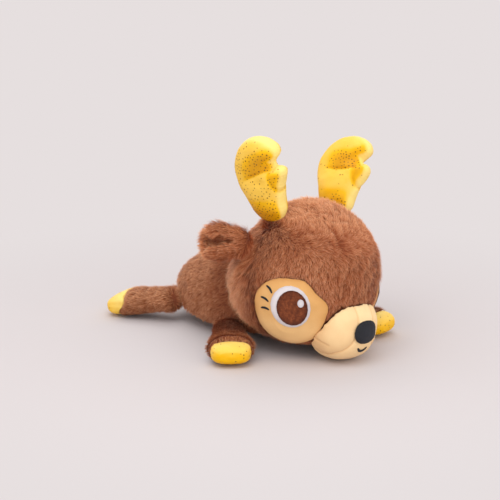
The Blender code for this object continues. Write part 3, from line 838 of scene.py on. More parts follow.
def pile_tree() -> Scatter:
    """Builds the tree of the plush: a tapered, arched blade on each drawn point, combed and in locks.

    Returns:
        The tree.
    """
    sizes = {
        "Strands": 2.0e6, "Length": 6.5 * MM, "Width": 0.42 * MM, "Lean": 62.0, "Arch": 0.1, "Lock Size": 230.0,
        "Lock Pull": 0.9, "Tufts": 1.1, "Shade Spread": 1.0, "Floor": 0.0002, "Draw": 1
    }
    scatter = Scatter("plush_pile", sizes)
    graph, given, read, odd = scatter.graph, scatter.given, scatter.attribute, Strands()
    grid = graph.add("GeometryNodeMeshGrid", i0=1.0, i1=1.0, i2=2, i3=3).outputs[0]
    aside, up, _ = graph.apart(graph.add("GeometryNodeInputPosition").outputs[0])
    blade = scatter.store(grid, "along", graph.math("ADD", up, 0.5))
    along = read("along")
    width = graph.math("SUBTRACT", 1.0, graph.math("POWER", along, 2.0))
    rise = graph.math("MULTIPLY", graph.math("MULTIPLY", along, graph.math("SUBTRACT", 1.0, along)), 4.0)
    shaped = graph.packed(graph.math("MULTIPLY", aside, width), along, graph.math("MULTIPLY", rise, given["Arch"]))
    blade = graph.add("GeometryNodeSetPosition", Geometry=blade, Position=shaped).outputs[0]
    blade = graph.add("GeometryNodeMergeByDistance", Geometry=blade, Distance=0.001).outputs[0]

    drawn = graph.add(
        "GeometryNodeDistributePointsOnFaces", Mesh=given["Surface"],
        Density=graph.math("MULTIPLY", given["Strands"], read("thick")), Seed=given["Draw"]
    )
    spot = graph.add("GeometryNodeInputPosition").outputs[0]
    lock = graph.noise(spot, given["Lock Size"], 1.0)
    pull = graph.scaled(graph.vector("SUBTRACT", lock.outputs["Color"], (0.5, 0.5, 0.5)), 2.0)
    pull = graph.scaled(pull, given["Lock Pull"])
    stray = graph.add(
        "FunctionNodeRandomValue", {"data_type": "FLOAT_VECTOR"}, i0=(-1, -1, -1), i1=(1, 1, 1), Seed=11
    )
    comb = read("comb", "FLOAT_VECTOR")
    way = graph.vector("ADD", graph.vector("ADD", comb, pull), graph.scaled(stray.outputs[0], odd.stray))
    outward = drawn.outputs["Normal"]
    across = graph.scaled(outward, graph.vector("DOT_PRODUCT", way, outward))
    flat = graph.vector("NORMALIZE", graph.vector("SUBTRACT", way, across))
    lean = graph.math("MULTIPLY", given["Lean"], read("lie"))
    lean = graph.math("RADIANS", graph.math("ADD", lean, scatter.random(*odd.lean, 5)))
    strand = graph.vector(
        "ADD", graph.scaled(flat, graph.math("SINE", lean)), graph.scaled(outward, graph.math("COSINE", lean))
    )
    turned = graph.add(
        "FunctionNodeAxesToRotation", {"primary_axis": "Y", "secondary_axis": "Z"}, Primary_Axis=strand,
        Secondary_Axis=outward
    )
    long = graph.math("MULTIPLY", given["Length"], read("reach"))
    long = graph.math("MULTIPLY", long, scatter.random(*odd.length, 6))
    tufts = graph.math("MULTIPLY", graph.math("SUBTRACT", lock.outputs["Fac"], 0.5), given["Tufts"])
    long = graph.math("MULTIPLY", long, graph.math("ADD", tufts, 1.0))
    wide = graph.math("MULTIPLY", given["Width"], scatter.random(*odd.width, 7))
    size = graph.packed(wide, long, long)
    streak = graph.noise(spot, graph.math("MULTIPLY", given["Lock Size"], odd.streaks), 2.0).outputs["Fac"]
    broad = graph.noise(spot, odd.patch_size, 2.0).outputs["Fac"]
    patches = graph.math("MULTIPLY", graph.math("SUBTRACT", broad, 0.5), odd.patches)
    swing = graph.math("ADD", graph.math("SUBTRACT", streak, 0.5), patches)
    shade = graph.math("ADD", read("tone"), graph.math("MULTIPLY", swing, given["Shade Spread"]))
    shade = graph.math("ADD", shade, scatter.random(*odd.shade, 8))
    shade = graph.add("ShaderNodeClamp", i0=shade, i1=0.02, i2=0.98).outputs[0]
    points = scatter.store(drawn.outputs[0], "shade", shade)
    strands = graph.add(
        "GeometryNodeInstanceOnPoints", Points=points, Instance=blade, Rotation=turned.outputs[0], Scale=size
    ).outputs[0]
    whole = graph.add("GeometryNodeRealizeInstances", Geometry=strands).outputs[0]
    x, y, z = graph.apart(graph.add("GeometryNodeInputPosition").outputs[0])
    resting = graph.math("ADD", given["Floor"], graph.math("MULTIPLY", read("shade"), odd.lifted))
    held = graph.packed(x, y, graph.math("MAXIMUM", z, resting))
    whole = graph.add("GeometryNodeSetPosition", Geometry=whole, Position=held).outputs[0]
    whole = scatter.store(whole, "OFBake", graph.packed(read("shade"), read("along")), "FLOAT2", "CORNER")
    scatter.end(whole)
    return scatter


def dot_tree() -> Scatter:
    """Builds the tree of the foil dots: a small flat disc on each of the evenly drawn points.

    Returns:
        The tree.
    """
    scatter = Scatter("foil_dots", {"Gap": 2.1 * MM, "Radius": 0.52 * MM, "Proud": 0.06 * MM, "Draw": 3})
    graph, given = scatter.graph, scatter.given
    disc = graph.add("GeometryNodeMeshCircle", {"fill_type": "NGON"}, Vertices=8, Radius=given["Radius"]).outputs[0]
    drawn = graph.add(
        "GeometryNodeDistributePointsOnFaces", {"distribute_method": "POISSON"}, Mesh=given["Surface"],
        Distance_Min=given["Gap"], Density_Max=3.0e5, Density_Factor=scatter.attribute("dots"), Seed=given["Draw"]
    )
    lifted = graph.add(
        "GeometryNodeSetPosition", Geometry=drawn.outputs[0],
        Offset=graph.scaled(drawn.outputs["Normal"], given["Proud"])
    ).outputs[0]
    size = scatter.random(0.7, 1.15, 4)
    discs = graph.add(
        "GeometryNodeInstanceOnPoints", Points=lifted, Instance=disc, Rotation=drawn.outputs["Rotation"],
        Scale=graph.packed(size, size, size)
    ).outputs[0]
    scatter.end(graph.add("GeometryNodeRealizeInstances", Geometry=discs).outputs[0])
    return scatter


# Plush pieces


def report(made: bpy.types.Object) -> None:
    """Logs a finished piece.

    Args:
        made: The piece.
    """
    LOG.info("%s: %d points, %d faces", made.name, len(made.data.vertices), len(made.data.polygons))


@dataclass
class Plush:
    """A stuffed plush piece: a backing under the CAD surface, and the pile that reaches it."""

    node: str
    body: str
    firm: list[str]
    near: list[str]
    hugged: list[str] = field(default_factory=list)
    rooted: list[str] = field(default_factory=list)
    voxel: float = 1.8 * MM
    sink: float = 2.8 * MM
    soft: int = 6
    ripple: float = 0.35 * MM
    groove: float = 0.5 * MM
    strands: float = 1.4e6
    length: float = 6.4 * MM
    width: float = 0.42 * MM
    lean: float = 62.0
    lock_pull: float = 0.9
    coats: tuple[str, ...] = ("pile",)
    cover: float = 5.5 * MM
    meet: float = 3.3 * MM
    over: float = 0.06
    low: float = 0.55
    bald: float = 0.45
    fill: float = 0.85
    finish: Finish = Finish.HEAD_PILE
    draw: int = 1
    hug: float = 2.2
    seam_shade: float = 0.35
    shortest: float = 0.34
    coat_short: float = 0.14
    coat_lift: float = 6.0
    coat_draw: int = 40

    def comb(self, points: np.ndarray, normals: np.ndarray) -> np.ndarray:
        """Gives the way the pile lies at each point."""
        return np.tile((0.0, 0.4, -1.0), (len(points), 1))

    def tone(self, points: np.ndarray, normals: np.ndarray) -> np.ndarray:
        """Gives how light the pile is at each point."""
        return np.full(len(points), 0.45)

    def parting(self, points: np.ndarray) -> np.ndarray:
        """Gives how near each point is to a seam that parts the pile, from 0 to 1."""
        return np.zeros(len(points))

    def depth(self, points: np.ndarray) -> np.ndarray:
        """Gives which share of its sink the backing has at each point."""
        return np.ones(len(points))

    def settled(self, points: np.ndarray) -> np.ndarray:
        """Gives the backing's points after their last move."""
        return points

    def folds(self, points: np.ndarray) -> np.ndarray:
        """Gives how far each point is lifted by folds of the cloth."""
        return np.zeros(len(points))

    def tuft(self, points: np.ndarray) -> np.ndarray:
        """Gives how much longer than usual the strands are at each point."""
        return np.ones(len(points))

    def laid(self, points: np.ndarray) -> np.ndarray:
        """Gives which share of its lean the pile has at each point."""
        return np.ones(len(points))

    def backing(self) -> bpy.types.Object:
        """Makes the stuffed backing under the pile.

        Returns:
            The object, with its pile's fields painted on.
        """
        skin = copy_of(self.node, f"{self.node}_skin")
        remesh(skin, self.voxel, self.soft)
        points, normals = surface_of(skin)
        swell = self.ripple * waves(points, 11 * MM, self.draw) + self.groove * self.parting(points)
        deep = self.sink * self.depth(points) + swell - self.folds(points)
        points = self.settled(points - normals * deep[:, None])
        place(skin, points)
        _, normals = surface_of(skin)
        smooth_faces(skin)
        covered = Neighbours(self.firm).over(points, normals, self.cover)
        met = covered | Neighbours(self.near).over(points, normals, self.meet)
        comb = self.comb(points, normals)
        toward, apart = Neighbours(self.hugged).toward(points)
        comb = comb + toward * (self.hug * (1 - ease(apart, 2 * MM, 8 * MM)))[:, None]
        _, beside = Neighbours(self.rooted).toward(points)
        comb = flattened(comb, normals)
        seam = self.parting(points)
        flat = self.low + (1 - self.low) * ease(points[:, 2], 4 * MM, 16 * MM)
        flat = flat * (1.25 - 0.25 * ease(beside, 3.0 * MM, 7 * MM))
        paint(skin, "thick", np.where(met, 0.0, 1.0 - self.bald * seam))
        paint(skin, "comb", comb)
        paint(skin, "lie", (0.5 + 0.5 * ease(beside, 2.0 * MM, 6 * MM)) * self.laid(points))
        paint(skin, "tone", self.tone(points, normals) - self.seam_shade * seam)
        paint(skin, "reach", self.reach(points, comb, covered) * self.tuft(points) * flat * (1 - 0.25 * seam))
        skin.data.materials.append(Finish.BACKING.dressed)
        return skin

    def reach(self, points: np.ndarray, comb: np.ndarray, covered: np.ndarray) -> np.ndarray:
        """Shortens the strands that would run into a neighbour.

        Args:
            points: The backing's points.
            comb: The way the pile lies.
            covered: Which points a neighbour lies over.

        Returns:
            The share of the full length for each point.
        """
        tree = tree_of(points)
        share = np.ones(len(points))
        run = self.length * math.sin(math.radians(self.lean))
        for step in (1.0, 0.8, 0.6, 0.4, 0.2):
            ahead = points + comb * run * step
            hit = np.array([covered[tree.find(Vector(p))[1]] for p in ahead])
            share = np.where(hit, step, share)
        return np.maximum(np.where(share < 1, share + self.over, 1.0), self.shortest)

    def dress(self, tree: Scatter) -> list[bpy.types.Object]:
        """Builds the piece and sets it on its body.

        Args:
            tree: The tree of the pile.

        Returns:
            The backing and its pile.
        """
        skin = self.backing()
        made = [skin]
        for number, coat in enumerate(self.coats):
            made.append(tree.grow(
                skin, f"{self.node}_{coat}", self.finish, Strands=self.strands,
                Length=self.length * (1 - self.coat_short * number), Width=self.width,
                Lean=self.lean - self.coat_lift * number, Lock_Pull=self.lock_pull,
                Draw=self.draw + self.coat_draw * number
            ))
        for piece in made:
            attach(piece, self.body)
            report(piece)
        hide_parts(self.node)
        return made


@dataclass
class HeadPlush(Plush):
    """The head: a middle gusset between two side panels, with the pile brushed down its face."""

    gusset: float = 19.5 * MM
    narrowing: float = 4.5 * MM
    seam_width: float = 1.1 * MM
    whorl_width: float = 0.55
    whorl: str = "antler_right"
    base_tone: float = 0.42
    # painted sheen and light on the crown
    crown_sheen: float = 0.8
    front_tone: float = 0.12
    fringe_tone: float = 0.3
    turned_tone: float = 0.06
    # painted light on the flanks, and round the near antler's root, where it lifts the shade
    flank_tone: float = 0.08
    root_light: float = 0.4
    root_width: float = 0.34
    fringe_tuft: float = 0.75
    crown_tuft: float = 0.25
    cheek_tuft: float = 0.15
    chin_tuft: float = 0.3
    turned_lie: float = 0.14
    fringe_lie: float = 0.2
    chin_sink: float = 0.9

    @property
    def whorl_way(self) -> np.ndarray:
        """The direction of the whorl from the middle of the head, at the root of its antler."""
        corners = HeadFrame.local(node_arrays(self.whorl)[0])
        return unit(corners[np.linalg.norm(corners, axis=1) < HeadFrame.radius + 3 * MM].mean(0)[None])[0]

    def turned(self, local: np.ndarray) -> tuple[np.ndarray, np.ndarray]:
        """Gives how far round from the whorl each point is, and which share of its turn the pile has made.

        Args:
            local: The places, in the head's own directions.

        Returns:
            The angles round from the whorl, and the shares.
        """
        whorl = self.whorl_way
        round_to = np.arctan2(local[:, 0], -local[:, 1]) - math.atan2(whorl[0], -whorl[1])
        near = bell(round_to, self.whorl_width)[:, None]
        limits = np.array([[18 * MM, 52 * MM]]) * (1 - near)
        limits = limits + near * (whorl[2] * HeadFrame.radius + np.array([[-4 * MM, 4 * MM]]))
        share = np.clip((local[:, 2] - limits[:, 0]) / (limits[:, 1] - limits[:, 0]), 0, 1)
        return round_to, share * share * (3 - 2 * share)

    def behind(self, points: np.ndarray, local: np.ndarray) -> np.ndarray:
        """How far each point is in the fringe behind the cheeks, which ends above the front legs."""
        round_back = ease(local[:, 1], 0.0, 16 * MM) * (1 - ease(local[:, 2], 0.0, 30 * MM))
        return round_back * ease(points[:, 2], 20 * MM, 44 * MM)

    def laid(self, points: np.ndarray) -> np.ndarray:
        """The pile lies flatter where it turns about, and stands up in the fringe behind the cheeks.

        Args:
            points: The backing's points.

        Returns:
            The share of its lean for each point.
        """
        local = HeadFrame.local(points)
        _, share = self.turned(local)
        return 1 + self.turned_lie * np.sin(np.pi * share) - self.fringe_lie * self.behind(points, local)

    def comb(self, points: np.ndarray, normals: np.ndarray) -> np.ndarray:
        """The pile falls down the face, turns about on the forehead and lies back over the crown.

        Args:
            points: The backing's points.
            normals: Their outward directions; not used.

        Returns:
            One direction for each point.
        """
        local = HeadFrame.local(points)
        out = unit(local)
        behind = ease(local[:, 1], -18 * MM, 12 * MM)
        fringe = ease(local[:, 1], 4 * MM, 16 * MM)
        forward = -0.75 * behind * (1 - 1.6 * fringe)
        down = flattened(np.stack([0 * forward, forward, np.full(len(points), -1.0)], axis=1), out)
        back = flattened(np.tile((0.0, 1.0, 0.2), (len(points), 1)), out)
        turn = np.arctan2((np.cross(down, back) * out).sum(1), (down * back).sum(1))
        round_to, share = self.turned(local)
        turn = np.where((turn < 0) & (round_to > 0), turn + math.tau, turn) * share
        swung = down * np.cos(turn)[:, None] + np.cross(out, down) * np.sin(turn)[:, None]
        return HeadFrame.ways(swung)

    def tone(self, points: np.ndarray, normals: np.ndarray) -> np.ndarray:
        """Lighter on the crown and the brow, darker low on the cheeks: painted sheen and light on the crown,
        painted light on the flanks, and painted light that lifts the shade at the near antler's root.

        Args:
            points: The backing's points.
            normals: Their outward directions; not used.

        Returns:
            One tone for each point.
        """
        local = HeadFrame.local(points)
        crown = ease(local[:, 2], 34 * MM, 54 * MM)
        turned = bell(local[:, 2] - 30 * MM, 12 * MM) * ease(-local[:, 1], 0.0, 15 * MM)
        front = ease(-local[:, 1], 20 * MM, 50 * MM) * ease(local[:, 2], -25 * MM, 10 * MM)
        side = ease(np.abs(local[:, 0]), 20 * MM, 45 * MM)
        fringe = ease(local[:, 1], 8 * MM, 20 * MM) * (1 - ease(local[:, 2], 0.0, 30 * MM))
        flank = side * (1 - crown)
        # painted light round the near antler's root, lifting the shade under it
        root = bell(np.linalg.norm(unit(local) - self.whorl_way, axis=1), self.root_width)
        tone = self.base_tone + self.crown_sheen * crown * (1 - 0.5 * side) + self.front_tone * front
        tone = tone + self.fringe_tone * fringe - self.turned_tone * turned
        return tone + self.flank_tone * flank + self.root_light * root

    def tuft(self, points: np.ndarray) -> np.ndarray:
        """Longer on the crown, and in the fringe behind the cheeks.

        Args:
            points: The backing's points.

        Returns:
            The share of the usual length for each point.
        """
        local = HeadFrame.local(points)
        crown = ease(local[:, 2], 48 * MM, 57 * MM) * (1 - ease(np.abs(local[:, 0]), 8 * MM, 24 * MM))
        cheek = ease(np.abs(local[:, 0]), 25 * MM, 45 * MM) * (1 - ease(local[:, 2], 5 * MM, 30 * MM))
        low = self.chin_tuft * (1 - ease(points[:, 2], 10 * MM, 32 * MM))
        fringe = self.fringe_tuft * self.behind(points, local)
        return 1 + fringe + self.crown_tuft * crown + self.cheek_tuft * cheek - low

    def depth(self, points: np.ndarray) -> np.ndarray:
        """The backing lies deeper under the chin, where the toy's own weight presses the pile flat."""
        return 1 + self.chin_sink * (1 - ease(points[:, 2], 3 * MM, 20 * MM))

    def parting(self, points: np.ndarray) -> np.ndarray:
        """The two gusset seams.

        Args:
            points: The backing's points.

        Returns:
            How near each point is to a seam, from 0 to 1.
        """
        local = HeadFrame.local(points)
        rounds = unit(local)
        flat = unit(rounds * np.array((0.0, 1.0, 1.0)))
        near = ease(flat @ HeadFrame.muzzle_way, 0.0, 1.0)
        edge = (self.gusset - self.narrowing * near) / HeadFrame.radius
        off = (np.abs(rounds[:, 0]) - edge) * HeadFrame.radius
        return bell(off, self.seam_width)


@dataclass
class BodyPlush(Plush):
    """The body: a softer, shorter pile that swirls backward and down."""

    swirl_size: float = 24 * MM
    dip_size: float = 20 * MM
    patch_size: float = 15 * MM
    base_tone: float = 0.33
    # painted light on upward faces
    top_light: float = 0.3
    back_tone: float = 0.1
    patch_tone: float = 0.14
    # painted shadow of the head on the body
    neck_shade: float = 0.75
    neck_width: float = 17 * MM

    def comb(self, points: np.ndarray, normals: np.ndarray) -> np.ndarray:
        """The pile runs backward and down, in soft swirls.

        Args:
            points: The backing's points.
            normals: Their outward directions; not used.

        Returns:
            One direction for each point.
        """
        swirl = waves(points, self.swirl_size, 3.0)
        down = -0.8 + 0.5 * waves(points, self.dip_size, 7.0)
        return np.stack([0.7 * swirl, 0.7 + 0.3 * swirl, down], axis=1)

    def tone(self, points: np.ndarray, normals: np.ndarray) -> np.ndarray:
        """Painted light on upward faces, so darker low, and painted shadow toward the head, with soft patches.

        Args:
            points: The backing's points.
            normals: Their outward directions.

        Returns:
            One tone for each point.
        """
        # painted light: the upward-facing pile is lighter
        up = ease(normals[:, 2], -0.4, 0.9)
        back = ease(points[:, 1], -20 * MM, 60 * MM)
        # painted shadow on the body beside the head
        apart = np.linalg.norm(HeadFrame.local(points), axis=1) - HeadFrame.radius
        beside = bell(apart, self.neck_width)
        patches = self.patch_tone * waves(points, self.patch_size, 5.0)
        tone = self.base_tone + self.top_light * up + self.back_tone * back + patches
        return tone - self.neck_shade * beside


@dataclass
class LimbPlush(Plush):
    """An ear or a leg, with the pile laid from its root to its end."""

    joint: str = ""
    lit: float = 0.4
    end: float = 0.1
    rolled: float = 0.0
    bared: float = 0.5
    # shaded and raised split the tone between all faces and upward faces, which get painted light
    shaded: float = 0.55
    raised: float = 0.45
    # painted highlight where the cloth rolls over the hoof
    roll_highlight: float = 0.15
    sag: float = 0.25
    sag_size: float = 14 * MM
    droop: float = 0.1
    first_roll: tuple[float, float] = (3.0, 2.8)  # mm from the limb's end, and the width
    second_roll: tuple[float, float] = (12.5, 3.5)
    dip: tuple[float, float] = (7.8, 1.3)
    far_share: float = 0.85

    @property
    def root(self) -> np.ndarray:
        """The place of the limb's hinge."""
        return np.array(JOINTS[self.joint]["pos_m"])

    @property
    def way(self) -> np.ndarray:
        """The direction from the hinge to the limb's far end.

        Returns:
            The direction, at unit length.
        """
        points, _ = node_arrays(self.node)
        away = np.linalg.norm(points - self.root, axis=1)
        far = points[away > np.quantile(away, self.far_share)].mean(0)
        return (far - self.root) / np.linalg.norm(far - self.root)

    def along(self, points: np.ndarray) -> np.ndarray:
        """Gives how far from the hinge toward the limb's end each point lies."""
        return (points - self.root) @ self.way

    def depth(self, points: np.ndarray) -> np.ndarray:
        """The backing comes up at the root, where it meets its neighbour."""
        rise = ease(self.along(points), -2 * MM, 10 * MM)
        return self.bared + (1 - self.bared) * rise

    def comb(self, points: np.ndarray, normals: np.ndarray) -> np.ndarray:
        """The pile runs along the limb.

        Args:
            points: The backing's points.
            normals: Their outward directions; not used.

        Returns:
            One direction for each point.
        """
        sag = self.sag * waves(points, self.sag_size, 2.0)
        ways = np.tile(self.way, (len(points), 1))
        ways[:, 2] += sag - self.droop
        return ways

    def tone(self, points: np.ndarray, normals: np.ndarray) -> np.ndarray:
        """Painted light on top, lighter toward the end, with a painted highlight on a rolled cuff.

        Args:
            points: The backing's points.
            normals: Their outward directions.

        Returns:
            One tone for each point.
        """
        along = self.along(points)
        share = ease(along, 0.0, float(along.max()))
        up = ease(normals[:, 2], -0.5, 0.8)
        # painted light on upward faces and a painted highlight on the roll
        roll = np.maximum(self.folds(points), 0) / MM
        return self.lit * (self.shaded + self.raised * up) + self.end * share + self.roll_highlight * roll

    def folds(self, points: np.ndarray) -> np.ndarray:
        """A front leg's cloth rolls over the hoof, with a second fold behind the roll.

        Args:
            points: The backing's points.

        Returns:
            How far each point is lifted.
        """
        along = self.along(points)
        back = (float(along.max()) - along) / MM
        places = (self.first_roll, self.second_roll, self.dip)
        first, second, between = (bell(back - at, width) for at, width in places)
        roll, dip = first + 0.4 * second, 0.5 * between
        return self.rolled * (roll - 0.8 * dip)


@dataclass
class EarPlush(LimbPlush):
    """An ear: folded along its front, with a long pale fringe at its tip."""

    shaded: float = 0.62
    raised: float = 0.38
    fold_width: float = 1.6 * MM
    fold_shade: float = 0.9
    tip_back: float = 3.2 * MM
    tip_tuft: float = 0.2
    fold_out = [2, 10, 18, 24, 36]
    fold_up = [2.4, 1.2, -0.5, -0.9, -1.0]

    def placed(self, points: np.ndarray) -> tuple[np.ndarray, np.ndarray, np.ndarray]:
        """Gives how high, how far out and how far forward each point of the ear lies.

        Args:
            points: The places.

        Returns:
            The three distances of each point from the hinge.
        """
        seam = np.array(JOINTS[self.joint]["axis"])
        across = np.cross(seam, self.way)
        across = across if across[1] < 0 else -across
        base = points - self.root
        return base @ seam, base @ self.way, base @ across

    def parting(self, points: np.ndarray) -> np.ndarray:
        """The fold along the front.

        Args:
            points: The backing's points.

        Returns:
            How near each point is to the fold, from 0 to 1.
        """
        up, out, ahead = self.placed(points)
        line = MM * np.interp(out / MM, self.fold_out, self.fold_up)
        along = ease(out, 3 * MM, 9 * MM) * (1 - ease(out, 29 * MM, 35 * MM))
        return bell(up - line, self.fold_width) * along * (ahead > 0)

    def settled(self, points: np.ndarray) -> np.ndarray:
        """The tip's backing is drawn back to leave room for its long pile."""
        _, out, _ = self.placed(points)
        return points - self.way * (self.tip_back * ease(out, 16 * MM, 34 * MM))[:, None]

    def tone(self, points: np.ndarray, normals: np.ndarray) -> np.ndarray:
        """Pale at the tip, lit on the upper lobe.

        Args:
            points: The backing's points.
            normals: Their outward directions.

        Returns:
            One tone for each point.
        """
        _, out, _ = self.placed(points)
        lit = ease(normals[:, 2], -0.6, 0.7)
        tip = ease(out, 19 * MM, 31 * MM)
        tone = self.lit * (self.shaded + self.raised * lit) + self.end * tip
        return tone - self.fold_shade * self.parting(points)

    def tuft(self, points: np.ndarray) -> np.ndarray:
        """Longer toward the tip."""
        _, out, _ = self.placed(points)
        return 1 + self.tip_tuft * ease(out, 15 * MM, 30 * MM)


# Cloth pieces


@dataclass
class Sewn:
    """A smooth sewn piece: an even mesh of the CAD form, crowned between its edges."""

    node: str
    body: str
    finish: Finish
    slot: str
    voxel: float = 0.6 * MM
    soft: int = 3
    crown: float = 0.0
    edge: float = 2.5 * MM
    centre: tuple[float, float, float] = tuple(HeadFrame.middle)
    fill: float | None = None
    puffed: float = 0.0
    calm: int = 3
    # painted shade: the tone is low at the tucked edge and rises inward
    rim_tone: float = 0.12
    inner_tone: float = 0.45
    mottle: float = 0.1
    mottle_size: float = 9 * MM

    def held(self, points: np.ndarray) -> np.ndarray:
        """Gives how firmly each point is sewn down while the piece is stuffed."""
        return np.zeros(len(points))

    def form(self, made: bpy.types.Object) -> np.ndarray:
        """Shapes the piece and gives its tone, with painted shade at its tucked edge.

        Args:
            made: The piece.

        Returns:
            One tone from 0 to 1 for each point.
        """
        points, normals = surface_of(made)
        out = unit(points - np.array(self.centre))
        facing = (normals * out).sum(1)
        rim = points[(facing > 0.15) & (facing < 0.8)]
        apart = nearest_distance(points, rim)
        inner = 1 - np.exp(-apart / self.edge)
        points = points + out * (self.crown * inner * (facing > 0.3))[:, None]
        place(made, points)
        mottle = self.mottle * waves(points, self.mottle_size, 1.0)
        # painted shade at the tucked edge, lighter inward
        return np.clip(self.rim_tone + self.inner_tone * inner + mottle, 0, 1)

    def dress(self) -> bpy.types.Object:
        """Builds the piece and sets it on its body.

        Returns:
            The piece.
        """
        made = copy_of(self.node, f"{self.node}_cloth")
        if self.puffed:
            stuffed(made, self.puffed, self.held, self.calm)
        remesh(made, self.voxel, self.soft)
        paint(made, "tone", self.form(made))
        smooth_faces(made)
        made.data.materials.clear()
        made.data.materials.append(self.finish.dressed)
        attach(made, self.body)
        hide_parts(self.node)
        report(made)
        return made


@dataclass
class Patch(Sewn):
    """An eye patch, whose front edge runs on to the seam of the muzzle."""

    side: int = -1
    around: float = math.radians(59.5)
    below: float = math.radians(15.5)
    stretch: float = 3.4 * MM
    drop: float = 3.0 * MM
    # painted light from the floor on the lower part
    floor_bounce_light: float = 0.45

    def form(self, made: bpy.types.Object) -> np.ndarray:
        """Draws the front edge forward along the head, and paints light from the floor on the lower part.

        Args:
            made: The piece.

        Returns:
            One tone from 0 to 1 for each point.
        """
        tone = super().form(made)
        local = HeadFrame.local(surface_of(made)[0])
        out = np.array(
            (
                self.side * math.sin(self.around) * math.cos(self.below),
                -math.cos(self.around) * math.cos(self.below),
                -math.sin(self.below),
            )
        )
        up = unit((np.array((0, 0, 1)) - out * out[2])[None])[0]
        ahead = np.cross(out, up) * self.side
        forward, high = local @ ahead, local @ up
        pull = self.stretch * ease(forward, 9 * MM, 20 * MM) * (1 - ease(high, 4 * MM, 14 * MM))
        drop = self.drop * ease(-high, 6 * MM, 22 * MM)
        # painted light from the floor on the lower part
        tone = np.clip(tone + self.floor_bounce_light * ease(-high, 4 * MM, 20 * MM), 0, 1)
        radii = np.linalg.norm(local, axis=1, keepdims=True)
        moved = unit(local + ahead * pull[:, None] - up * drop[:, None]) * radii
        place(made, HeadFrame.ways(moved) + HeadFrame.middle)
        return tone


@dataclass
class Stitched(Sewn):
    """A satin-stitched patch: rows of raised thread side by side."""

    pitch: float = 0.7 * MM
    ridge: float = 0.13 * MM
    puff: float = 0.0
    slant: tuple[float, float, float] = (1.0, 0.0, 0.0)
    wander: float = 0.25
    wander_size: float = 3 * MM
    # painted light on the thread crests, painted shade between them
    crest_light: float = 0.45

    def form(self, made: bpy.types.Object) -> np.ndarray:
        """Raises the threads, with painted light on their crests and painted shade in what lies between them.

        Args:
            made: The piece.

        Returns:
            One tone from 0 to 1 for each point.
        """
        inner = super().form(made)
        points, normals = surface_of(made)
        row = (points @ np.array(self.slant)) / self.pitch
        wander = self.wander * waves(points, self.wander_size, 4.0)
        thread = np.abs(np.sin(np.pi * (row + wander)))
        place(made, points + normals * (self.puff + self.ridge * (thread - 0.6))[:, None])
        # painted light on the crests, painted shade between threads and at the edge
        return np.clip(inner * 0.6 + self.crest_light * thread - 0.1, 0, 1)


@dataclass
class Muzzle(Sewn):
    """The muzzle: a top panel between two cheek panels, with a chin dart on each side."""

    half_width: float = 27.5 * MM
    bridge: float = 18.0 * MM
    bridge_nose: float = 8.5 * MM
    sunk_in: float = 8.2  # mm, from the head's surface to the middle of the muzzle's rounding
    seam_width: float = 0.7 * MM
    seam_depth: float = 0.75 * MM
    dart_width: float = 0.8 * MM
    dart_share: float = 0.7
    swell: float = 0.35 * MM
    swell_size: float = 16 * MM
    base_tone: float = 0.56
    # painted light on upward faces
    top_light: float = 0.18
    bridge_tone: float = 0.12
    # painted shade toward the back, in the seams and in the darts
    back_shade: float = 0.25
    seam_shade: float = 0.3
    dart_shade: float = 0.25
    dart_line = [(-36 * MM, -38.5 * MM), (-42.4 * MM, -41.2 * MM), (-50 * MM, -43.0 * MM)]

    def held(self, points: np.ndarray) -> np.ndarray:
        """Its edge is sewn to the head."""
        away = np.linalg.norm(HeadFrame.local(points), axis=1) - HeadFrame.radius
        return 1 - ease(away, 1.5 * MM, 5 * MM)

    def form(self, made: bpy.types.Object) -> np.ndarray:
        """Sinks the seams and shades the panels: painted light on upward faces and a lighter top panel, painted
        shade toward the back and in the seams and darts.

        Args:
            made: The piece.

        Returns:
            One tone from 0 to 1 for each point.
        """
        points, normals = surface_of(made)
        local = HeadFrame.local(points)
        rounds = unit(local - HeadFrame.muzzle_way * (BALL - self.sunk_in) * MM)
        angle = np.arctan2(rounds[:, 2], rounds[:, 1])
        near = ease(-np.cos(angle + math.radians(30)), 0.0, 1.0)
        half = self.bridge + (self.bridge_nose - self.bridge) * near
        off = np.abs(rounds[:, 0]) * self.half_width - half
        seam = bell(off, self.seam_width)
        dart = line_distance(np.stack([local[:, 1], local[:, 2]], axis=1), self.dart_line)
        fold = bell(dart, self.dart_width) * (np.abs(local[:, 0]) > 12 * MM)
        sunk = self.seam_depth * np.maximum(seam, fold * self.dart_share)
        points = points - normals * sunk[:, None]
        swell = self.swell * waves(points, self.swell_size, 6.0)
        place(made, points + normals * swell[:, None])
        bridge = 1 - ease(off, -1.0 * MM, 1.0 * MM)
        up = ease(normals[:, 2], -0.7, 0.7)
        back = ease(local[:, 1], -52 * MM, -36 * MM)
        # painted light on upward faces, painted shade toward the back, in the seams and in the darts
        tone = self.base_tone + self.top_light * up + self.bridge_tone * bridge
        tone = tone - self.back_shade * back * (1 - bridge)
        return np.clip(tone - self.seam_shade * seam - self.dart_shade * fold, 0, 1)


